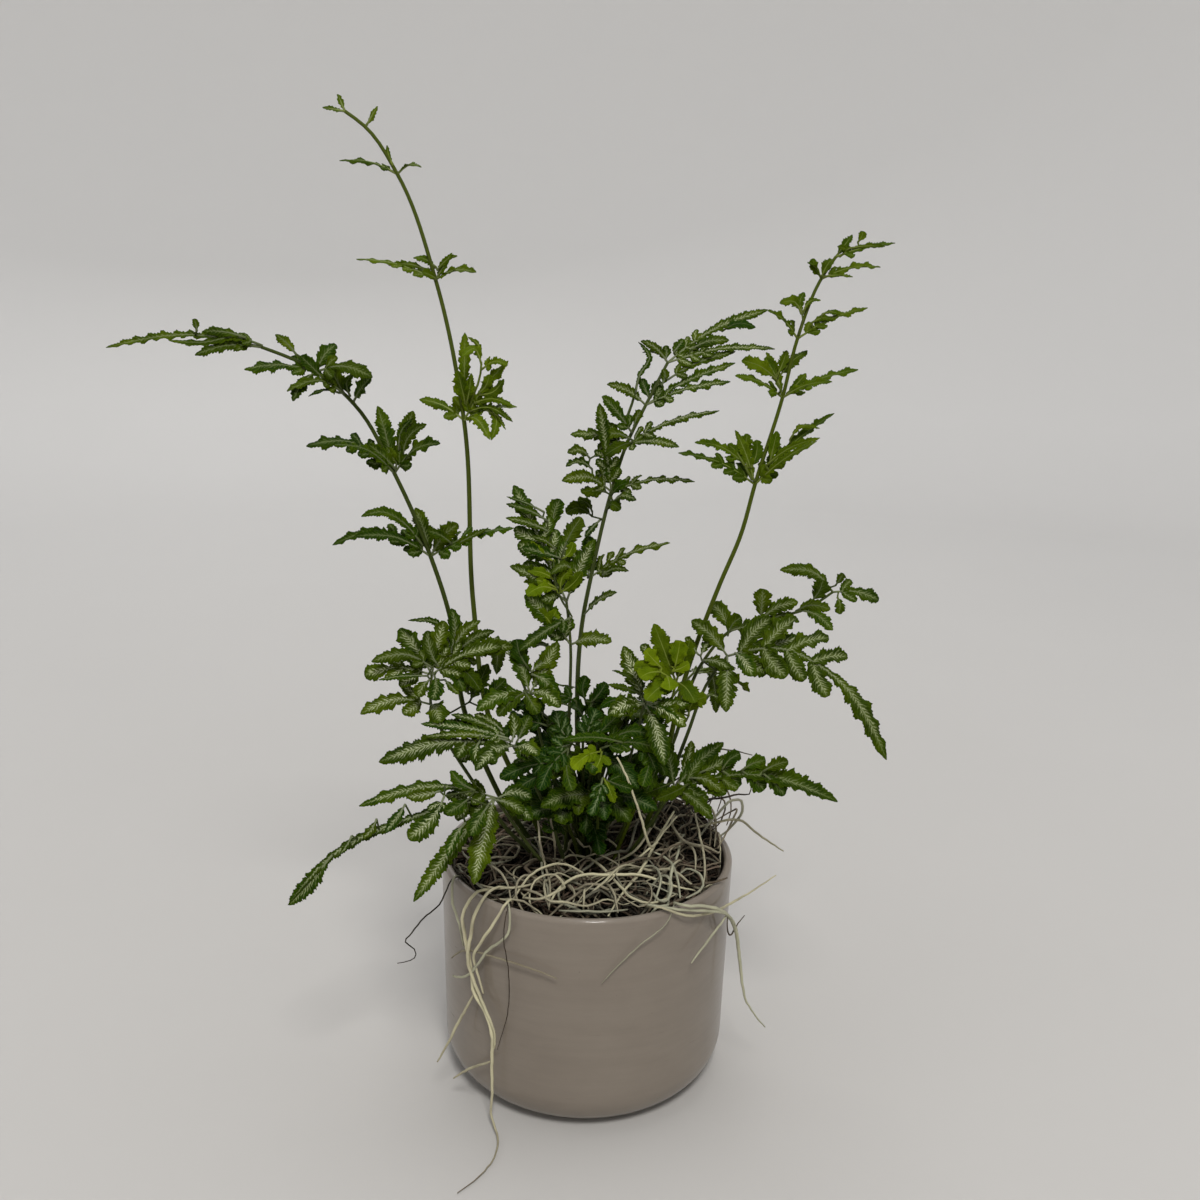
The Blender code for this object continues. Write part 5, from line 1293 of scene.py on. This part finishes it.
def moss_height(x, y):
    """Height of the moss bed, heaped at the back right and lowest along the front rim."""
    distance = min(math.hypot(x, y), MOSS_REACH)
    heap = HEAP_HEIGHT * math.exp(-((x - HEAP_X) ** 2 + (y - HEAP_Y) ** 2) / HEAP_SPREAD)
    edge = 3.0 * max(0.0, (distance - MOSS_EDGE) / 15.0) ** 2
    ripple = 1.4 * math.sin(0.31 * x + 1.0) * math.cos(0.27 * y - 0.5)
    return MOSS_LEVEL + heap + ripple - edge


def make_moss_mat(material):
    """Lumpy mat under the strands, with its hole round the crown, coloured near black as painted shade in the
    gaps between the strands.
    """
    outer = inner_radius(MIX_TOP) - 0.7
    rows = []
    for share in (0.0, *np.linspace(0.0, 1.0, 26), 1.0):
        ring = []
        for angle in around(MAT_SIDES):
            heading = np.array((math.cos(angle), math.sin(angle)))
            inner = np.array((CROWN_X, CROWN_Y)) + heading * MAT_HOLE
            x, y = inner + (heading * outer - inner) * share
            top = moss_height(x, y) - MAT_DEPTH - 2.5 * (1.0 - share) ** 4
            ring.append((x, y, max(top, MIX_TOP + 3.4)))
        rows.append(np.array(ring))
    for ring in (rows[0], rows[-1]):
        ring[:, 2] = MIX_TOP + 1.4
    for ring in rows[1:-1]:
        ring[:, 2] += 1.1 * lumps(ring[:, 0], ring[:, 1], 0.6) + 0.5 * lumps(ring[:, 1], ring[:, 0], 1.9)
    body = np.concatenate(rows)
    zeros = np.zeros((len(body), 3))
    parts = Parts()
    parts.add(body, bands(len(rows), MAT_SIDES, closed=True)[:, OTHER_WAY], zeros, zeros)
    parts.piece("moss_mat", [material], "spanish_moss")


def strand(parts, points, radius, tone, draw, sides=STRAND_SIDES, kinds=(0.0, 1.0)):
    """One moss strand through its points, thickest near its middle and thin far along, with slight
    kinks. kinds is the range of its hue, from rusty over plain to cool."""
    curve = Curve(points)
    count = max(5, round(curve.length / STRAND_STEP))
    distances = np.linspace(0.0, curve.length, count)
    share = distances / curve.length
    radii = radius * (0.35 + 0.65 * np.sin(math.pi * np.clip(share * 0.86 + 0.1, 0.0, 1.0)) ** 0.7)
    radii = radii * (1.0 - 0.6 * np.clip((distances - THIN_FROM) / THIN_OVER, 0.0, 1.0))
    path = curve.at(distances)
    path[1:-1] += np.array([[draw.gauss(0.0, 0.08) for _ in range(3)] for _ in range(count - 2)])
    sweep(parts, path, radii, sides, (tone, draw.random(), draw.uniform(*kinds)))


def wander(draw, length, layer, height):
    """Path of a strand that curls over the bed and along the wall of the pot."""
    angle = draw.uniform(0.0, 2.0 * math.pi)
    distance = math.sqrt(draw.uniform(STRAND_STARTS[0] ** 2, STRAND_STARTS[1] ** 2))
    x = distance * math.cos(angle)
    y = distance * math.sin(angle)
    course = draw.uniform(0.0, 2.0 * math.pi)
    bend = draw.choice((-1.0, 1.0)) * draw.uniform(0.015, 0.115)
    swing = draw.choice((0.4, 1.0, 2.4))
    steps = max(5, round(length / STRAND_STEP))
    limit = inner_radius(POT_HEIGHT) - 1.6
    path = []
    for step in range(steps + 1):
        share = step / steps
        rise = layer + height * math.sin(math.pi * share) + swing * math.sin(step * 0.55 + angle * 5.0)
        path.append((x, y, moss_height(x, y) + rise))
        bend += draw.gauss(0.0, 0.006)
        course += bend * STRAND_STEP
        x += STRAND_STEP * math.cos(course)
        y += STRAND_STEP * math.sin(course)
        distance = math.hypot(x, y)
        if distance > limit:
            x *= limit / distance
            y *= limit / distance
            outward = math.atan2(y, x)
            course = outward + math.copysign(math.pi * 0.55, math.sin(course - outward))
        gap = math.hypot(x - CROWN_X, y - CROWN_Y)
        if gap < STRAND_CLEARANCE:
            x += (x - CROWN_X) / gap * (STRAND_CLEARANCE - gap)
            y += (y - CROWN_Y) / gap * (STRAND_CLEARANCE - gap)
    return path


def make_moss(material):
    """Strands of the bed, in layers from dark and deep to pale and loose, the dark of the deep ones partly
    painted shade, and the trailing ones.
    """
    draw = random.Random(7)
    for name, layers in MOSS_LAYERS:
        parts = Parts()
        for count, layer, height, tones, radii in layers:
            for _ in range(count):
                path = wander(draw, draw.uniform(*STRAND_LENGTHS), layer, height * draw.uniform(0.3, 1.2))
                strand(parts, path[:-1:2] + path[-1:], draw.uniform(*radii), draw.uniform(*tones), draw)
        parts.piece(name, [material], "spanish_moss")
    parts = Parts()
    for tone, radius, points in BED_STRANDS:
        strand(parts, points, radius * BED_RADIUS_SHARE, tone, draw, TRACED_BED_SIDES, BED_HUES)
    parts.piece("moss_top_strands", [material], "spanish_moss", "spanish_moss")
    for name, table, nodes in (
        ("moss_front_strands", FRONT_TRAIL, ("moss_trail_front",)),
        ("moss_right_strands", RIGHT_TRAIL, ("moss_trail_right",)),
        ("moss_loose_strands", LOOSE_STRANDS, ()),
    ):
        parts = Parts()
        for tone, radius, points in table:
            finer = min(radius, 0.72 * radius + 0.1)
            strand(parts, points, finer, tone, draw, TRACED_LOOSE_SIDES, LOOSE_HUES)
        parts.piece(name, [material], "spanish_moss", *nodes)


class Graph:
    """Short way to write the nodes of one material."""

    def __init__(self, name):
        self.material = bpy.data.materials.new(name)
        self.material.use_nodes = True
        self.tree = self.material.node_tree
        self.shader = self.tree.nodes["Principled BSDF"]

    def node(self, kind, *values, **settings):
        """Add a node. values go to its inputs in order, as numbers or as sockets."""
        made = self.tree.nodes.new(kind)
        for key, value in settings.items():
            setattr(made, key, value)
        for socket, value in zip(made.inputs, values):
            self.put(socket, value)
        return made

    def put(self, socket, value):
        """Link a socket, or set its number."""
        if isinstance(value, bpy.types.NodeSocket):
            self.tree.links.new(value, socket)
        elif value is not None:
            socket.default_value = value

    def math(self, operation, first, second=0.0, clamp=False):
        """Result of a Math node."""
        return self.node("ShaderNodeMath", first, second, operation=operation, use_clamp=clamp).outputs[0]

    def plus(self, first, second, clamp=False):
        """Sum."""
        return self.math("ADD", first, second, clamp)

    def minus(self, first, second, clamp=False):
        """Difference."""
        return self.math("SUBTRACT", first, second, clamp)

    def times(self, first, second, clamp=False):
        """Product."""
        return self.math("MULTIPLY", first, second, clamp)

    def over(self, first, second, clamp=False):
        """Quotient."""
        return self.math("DIVIDE", first, second, clamp)

    def noise(self, vector, scale, detail=3.0, rough=0.5):
        """Noise between 0 and 1."""
        made = self.node("ShaderNodeTexNoise", vector)
        made.inputs["Scale"].default_value = scale
        made.inputs["Detail"].default_value = detail
        made.inputs["Roughness"].default_value = rough
        return made.outputs[0]

    def mix(self, share, first, second):
        """Colour between two colours."""
        made = self.node("ShaderNodeMix", data_type="RGBA", clamp_factor=True)
        self.put(made.inputs[0], share)
        self.put(made.inputs[6], first if isinstance(first, bpy.types.NodeSocket) else (*first, 1.0))
        self.put(made.inputs[7], second if isinstance(second, bpy.types.NodeSocket) else (*second, 1.0))
        return made.outputs[2]

    def ramp(self, share, *stops):
        """Colour ramp with stops of place and colour."""
        made = self.node("ShaderNodeValToRGB", share)
        elements = made.color_ramp.elements
        while len(elements) < len(stops):
            elements.new(0.5)
        for element, (place, colour) in zip(elements, stops):
            element.position = place
            element.color = (*colour, 1.0)
        return made.outputs[0]

    def attribute(self, name):
        """The three numbers of a point attribute."""
        vector = self.node("ShaderNodeAttribute", attribute_name=name).outputs["Vector"]
        return self.node("ShaderNodeSeparateXYZ", vector).outputs

    def place(self, x, y, z):
        """Vector from three numbers."""
        return self.node("ShaderNodeCombineXYZ", x, y, z).outputs[0]

    def stretched(self, x=1.0, y=1.0, z=1.0):
        """Object coordinates in millimetres, scaled along each axis."""
        vector = self.node("ShaderNodeTexCoord").outputs["Object"]
        scale = self.node("ShaderNodeVectorMath", vector, (1000.0 * x, 1000.0 * y, 1000.0 * z),
                          operation="MULTIPLY")
        return scale.outputs[0]

    def bump(self, height, depth):
        """Bump of a depth in millimetres."""
        made = self.node("ShaderNodeBump")
        made.inputs["Strength"].default_value = 1.0
        made.inputs["Distance"].default_value = depth * MM
        self.put(made.inputs["Height"], height)
        self.put(self.shader.inputs["Normal"], made.outputs[0])

    def finish(self, colour, roughness, **constants):
        """Wire up the shader. constants are set on its own sockets."""
        self.put(self.shader.inputs["Base Color"], colour)
        self.put(self.shader.inputs["Roughness"], roughness)
        for name, value in constants.items():
            self.shader.inputs[name.replace("_", " ")].default_value = value
        return self.material


def vein_wave(g, along, across, seed):
    """Place along the slanting veins, where each vein is one whole number, and a wave that is 1 on a
    vein and 0 between two."""
    spot = g.place(along, across, seed)
    hand = g.math("GREATER_THAN", across, 0.0)
    vein = g.minus(along, g.times(g.math("ABSOLUTE", across), VEIN_SLOPE))
    vein = g.over(vein, VEIN_PITCH)
    vein = g.plus(vein, g.times(g.noise(spot, 0.35, 2.0), 2.4))
    vein = g.plus(vein, g.times(g.noise(spot, 1.1, 2.0), 0.7))
    vein = g.plus(vein, g.times(hand, 0.5))
    wave = g.math("COSINE", g.times(vein, 2.0 * math.pi))
    wave = g.plus(g.times(wave, 0.5), 0.5)
    return g.place(g.times(vein, 0.8), g.times(hand, 9.0), seed), wave


def silver_pattern(g, along, across, spread, silver, seed):
    """Wave of the veins, pale streak on each of them, and the feathered band that they make."""
    vein_place, wave = vein_wave(g, along, across, seed)
    reach = g.times(g.minus(g.noise(vein_place, 1.0, 2.0, 0.7), 0.3), 2.1, clamp=True)
    reach = g.plus(g.times(reach, 0.5), g.plus(g.times(silver, 0.14), 0.22))
    band = g.minus(1.5, g.over(spread, g.times(reach, 0.62)), clamp=True)
    streak = g.minus(1.25, g.over(spread, reach), clamp=True)
    streak = g.times(streak, g.math("POWER", wave, 3.4))
    feather = g.plus(g.times(band, 0.5), streak, clamp=True)
    flecks = g.plus(g.times(g.noise(g.place(along, across, seed), 2.4, 3.0), 0.9), 0.45)
    return wave, streak, g.times(g.times(feather, flecks), silver, clamp=True)


def leaf_green(g, spread, wave, young, old_and_shaded, tone):
    """Green of the blade, from deep to fresh, paler towards the margin and on the veins, and near black green
    on older leaves, partly their own deeper green and partly painted shade.
    """
    shade = g.noise(g.stretched(), 0.11, 3.0)
    deep = g.ramp(shade, (0.33, (0.004, 0.014, 0.0001)), (0.5, (0.017, 0.036, 0.0003)),
                  (0.7, (0.048, 0.073, 0.0005)))
    deep = g.mix(g.times(tone, -0.7, clamp=True), deep, (0.010, 0.039, 0.0008))
    warmth = g.plus(g.times(tone, 0.4), 0.05, clamp=True)
    deep = g.mix(warmth, deep, (0.058, 0.078, 0.001))
    # Older leaves: deep green darkened almost to black, partly their own colour and partly painted shade of
    # the crown's depths
    deep = g.mix(g.times(old_and_shaded, 0.95), deep, (0.003, 0.023, 0.001))
    fresh = g.ramp(shade, (0.3, (0.066, 0.110, 0.001)), (0.7, (0.140, 0.195, 0.003)))
    green = g.mix(young, deep, fresh)
    margin = g.times(g.minus(spread, 0.6), 0.9, clamp=True)
    margin = g.times(margin, g.minus(1.0, g.times(old_and_shaded, 0.6)))
    green = g.mix(margin, green, g.mix(young, (0.060, 0.098, 0.001), (0.16, 0.22, 0.003)))
    return g.mix(g.times(g.math("POWER", wave, 6.0), 0.3), green, (0.09, 0.135, 0.006))


def leaf_material():
    """Green blade with a silver band that feathers out along the veins towards the margin, and painted shade
    that darkens some leaves at random. Its tint holds silver, young (below zero the leaf is older, its green
    deeper and darker partly as painted shade) and a tone of its own."""
    g = Graph("fern_leaf")
    along, across, share = g.attribute("place")
    silver, young, tone = g.attribute("tint")
    spread = g.math("ABSOLUTE", share)
    seed = g.times(tone, 40.0)
    # Share of older leaf, where young is below zero; its darkening is partly painted shade of the crown's
    # depths
    old_and_shaded = g.times(young, -1.0, clamp=True)
    wave, streak, amount = silver_pattern(g, along, across, spread, silver, seed)
    green = leaf_green(g, spread, wave, young, old_and_shaded, tone)
    pale = g.mix(g.times(streak, silver, clamp=True), (0.155, 0.19, 0.045), (0.66, 0.68, 0.46))
    # Silver of older leaves turns dull dark green, partly painted shade
    pale = g.mix(g.times(old_and_shaded, 0.7), pale, (0.10, 0.18, 0.08))
    # Painted shade: leaves picked at random by their tone are darkened almost to black green, and their
    # silver to dark grey green, as if they lay in shadow
    dim = g.times(g.minus(0.56, g.noise(g.place(seed, 3.7, 0.4), 0.8, 1.0)), 2.6, clamp=True)
    green = g.mix(g.times(dim, 0.75), green, (0.004, 0.015, 0.0002))
    pale = g.mix(g.times(dim, 0.55), pale, (0.07, 0.10, 0.04))
    colour = g.mix(amount, green, pale)
    rib = g.minus(1.0, g.over(spread, 0.08), clamp=True)
    rib = g.times(rib, g.plus(g.times(silver, 0.5), 0.3))
    colour = g.mix(rib, colour, g.mix(young, (0.22, 0.26, 0.12), (0.24, 0.30, 0.03)))
    grain = g.noise(g.stretched(), 1.8, 2.0)
    g.bump(g.plus(g.times(wave, spread), g.times(grain, 0.5)), 0.2)
    return g.finish(colour, g.plus(g.times(grain, 0.18), 0.42), Specular_IOR_Level=0.03)


def stem_material():
    """Green stalk with faint lengthwise streaks."""
    g = Graph("fern_stem")
    along, turn, _ = g.attribute("place")
    silver, young, _ = g.attribute("tint")
    streaks = g.noise(g.place(g.times(along, 0.05), turn, young), 1.3, 4.0, 0.6)
    green = g.ramp(streaks, (0.3, (0.013, 0.023, 0.0005)), (0.55, (0.025, 0.038, 0.001)),
                   (0.8, (0.046, 0.062, 0.002)))
    colour = g.mix(g.times(young, 0.9, clamp=True), green, (0.16, 0.205, 0.008))
    pale = g.times(silver, 0.3, clamp=True)
    colour = g.mix(pale, colour, (0.36, 0.40, 0.24))
    g.bump(streaks, 0.12)
    return g.finish(colour, g.plus(g.times(streaks, 0.2), 0.4), Specular_IOR_Level=0.08)


def moss_material():
    """Dry strand whose colour goes from dark brown to pale yellow-grey with its tone."""
    g = Graph("moss_strand")
    along, turn, _ = g.attribute("place")
    tone, pick, kind = g.attribute("tint")
    spot = g.place(g.times(along, 0.12), g.times(turn, 0.25), g.times(pick, 30.0))
    drift = g.noise(spot, 1.0, 3.0)
    end = g.over(g.minus(along, 95.0), 70.0, clamp=True)
    value = g.minus(tone, g.times(end, 0.5))
    value = g.plus(value, g.times(g.minus(drift, 0.5), 0.55), clamp=True)
    colour = g.ramp(value, (0.0, (0.008, 0.004, 0.002)), (0.22, (0.050, 0.033, 0.020)),
                    (0.45, (0.14, 0.112, 0.074)), (0.7, (0.29, 0.26, 0.18)), (1.0, (0.60, 0.56, 0.37)))
    cool = g.times(g.math("GREATER_THAN", kind, 0.72), 0.45)
    colour = g.mix(cool, colour, g.ramp(value, (0.1, (0.03, 0.032, 0.024)), (0.9, (0.34, 0.37, 0.28))))
    rusty = g.times(g.math("LESS_THAN", kind, 0.14), 0.5)
    colour = g.mix(rusty, colour, g.ramp(value, (0.1, (0.07, 0.035, 0.022)), (0.9, (0.42, 0.29, 0.22))))
    scales = g.noise(g.place(along, turn, pick), 1.6, 4.0, 0.65)
    colour = g.mix(g.times(g.minus(scales, 0.5), 1.1, clamp=True), colour, (0.48, 0.46, 0.38))
    g.bump(scales, 0.25)
    return g.finish(colour, g.plus(g.times(scales, 0.2), 0.65), Specular_IOR_Level=0.12)


def soil_material(name, dark, light, scale):
    """Crumbly dark matter with fibres and chips."""
    g = Graph(name)
    crumbs = g.noise(g.stretched(), scale, 6.0, 0.68)
    fibres = g.noise(g.stretched(0.3, 1.6, 1.0), scale * 1.6, 4.0, 0.6)
    value = g.plus(g.times(crumbs, 0.65), g.times(fibres, 0.35))
    colour = g.ramp(value, (0.38, dark), (0.52, [0.5 * (a + b) for a, b in zip(dark, light)]), (0.66, light))
    g.bump(value, 1.2)
    return g.finish(colour, g.plus(g.times(crumbs, 0.15), 0.8), Specular_IOR_Level=0.15)


def glaze_material():
    """Taupe glaze with faint horizontal streaks, soft clouds and a few pits."""
    g = Graph("taupe_glaze_surface")
    stripes = g.noise(g.stretched(0.02, 0.02, 0.32), 1.0, 4.0, 0.55)
    clouds = g.noise(g.stretched(), 0.018, 3.0)
    mottle = g.noise(g.stretched(0.5, 0.5, 1.0), 0.07, 4.0, 0.6)
    value = g.plus(g.times(stripes, 0.25), g.times(clouds, 0.35))
    value = g.plus(value, g.times(mottle, 0.4))
    colour = g.ramp(value, (0.3, (0.184, 0.155, 0.126)), (0.5, (0.209, 0.178, 0.145)),
                    (0.7, (0.231, 0.199, 0.163)))
    specks = g.noise(g.stretched(), 0.55, 2.0)
    pits = g.times(g.minus(specks, 0.74), 9.0, clamp=True)
    colour = g.mix(g.times(pits, 0.45), colour, (0.07, 0.055, 0.045))
    fine = g.noise(g.stretched(0.08, 0.08, 1.1), 1.0, 3.0)
    g.bump(g.minus(fine, g.times(pits, 0.8)), 0.05)
    rough = g.plus(g.times(fine, 0.12), 0.24)
    return g.finish(colour, rough, Specular_IOR_Level=0.12, Coat_Weight=0.42, Coat_Roughness=0.05)


def floor_material():
    """Plain matt surface, faintly clouded, and paler away from the plant as painted light on the far floor
    and the wall.
    """
    g = Graph("pale_floor")
    clouds = g.noise(g.stretched(), 0.004, 3.0)
    level = g.stretched(0.0005, 0.0005, 0.0)
    # Painted light: the colour grows paler with the distance from the plant
    away = g.node("ShaderNodeVectorMath", level, operation="LENGTH").outputs["Value"]
    away = g.plus(away, g.times(g.minus(clouds, 0.5), 0.08), clamp=True)
    colour = g.mix(away, (0.48, 0.465, 0.445), (0.735, 0.725, 0.71))
    return g.finish(colour, g.plus(g.times(clouds, 0.1), 0.85))


def make_floor(material):
    """Level floor that curves up to a wall all round."""
    sides = 96
    outline = [(radius, FLOOR_LEVEL) for radius in np.linspace(150.0, FLOOR_RADIUS, 10)]
    outline += arc((FLOOR_RADIUS, WALL_CURVE), WALL_CURVE - FLOOR_LEVEL, -90.0, 0.0, 24)
    outline += [(FLOOR_RADIUS + WALL_CURVE, WALL_TOP)]
    faces = [tuple(range(sides)), *bands(len(outline), sides)[:, OTHER_WAY].tolist()]
    mesh = bpy.data.meshes.new("floor")
    mesh.from_pydata((np.concatenate(level_rings(outline, sides)) * MM).tolist(), [], faces)
    mesh.polygons.foreach_set("use_smooth", np.ones(len(faces), bool))
    mesh.materials.append(material)
    floor = bpy.data.objects.new("floor", mesh)
    bpy.context.scene.collection.objects.link(floor)


def make_lights():
    """Soft round lights that look at the plant, and a dim even sky."""
    for name, place, size, power, colour in LIGHTS:
        light = bpy.data.lights.new(name, "AREA")
        light.shape = "DISK"
        light.size = size
        light.energy = power
        light.color = colour
        lamp = bpy.data.objects.new(name, light)
        lamp.location = place
        lamp.rotation_mode = "QUATERNION"
        lamp.rotation_quaternion = (Vector(LIGHT_TARGET) - Vector(place)).to_track_quat("-Z", "Y")
        bpy.context.scene.collection.objects.link(lamp)
    world = bpy.data.worlds.new("soft_studio")
    world.use_nodes = True
    background = world.node_tree.nodes["Background"]
    background.inputs["Color"].default_value = (0.93, 0.95, 1.0, 1.0)
    background.inputs["Strength"].default_value = 0.32
    bpy.context.scene.world = world
    bpy.context.scene.view_settings.view_transform = "Standard"


def make_camera():
    """Camera at the photograph's viewing angle."""
    forward = Vector((math.sin(CAMERA_TURN) * math.cos(CAMERA_TILT),
                      math.cos(CAMERA_TURN) * math.cos(CAMERA_TILT), -math.sin(CAMERA_TILT)))
    right = Vector((math.cos(CAMERA_TURN), -math.sin(CAMERA_TURN), 0.0))
    up = right.cross(forward)
    side = right * math.cos(CAMERA_ROLL) + up * math.sin(CAMERA_ROLL)
    top = up * math.cos(CAMERA_ROLL) - right * math.sin(CAMERA_ROLL)
    matrix = Matrix((side, top, -forward)).transposed().to_4x4()
    matrix.translation = Vector((0.0, -CAMERA_DISTANCE, CAMERA_HEIGHT)) * MM
    data = bpy.data.cameras.new("photo_camera")
    data.lens = CAMERA_LENS
    data.sensor_width = CAMERA_LENS
    data.clip_start = 0.01
    camera = bpy.data.objects.new("photo_camera", data)
    camera.matrix_world = matrix
    bpy.context.scene.collection.objects.link(camera)
    bpy.context.scene.camera = camera


make_camera()
make_floor(floor_material())
make_lights()
fern_materials = [leaf_material(), stem_material()]
for shape in FRONDS:
    make_frond(shape, fern_materials)
make_crown(fern_materials)
make_pot(glaze_material())
make_mix(soil_material("mix_surface", (0.012, 0.008, 0.005), (0.075, 0.048, 0.03), 0.22))
# Near black mat: painted shade in the gaps between the moss strands
make_moss_mat(soil_material("moss_mat_painted_shade", (0.001, 0.001, 0.0005), (0.016, 0.010, 0.006), 0.5))
make_moss(moss_material())
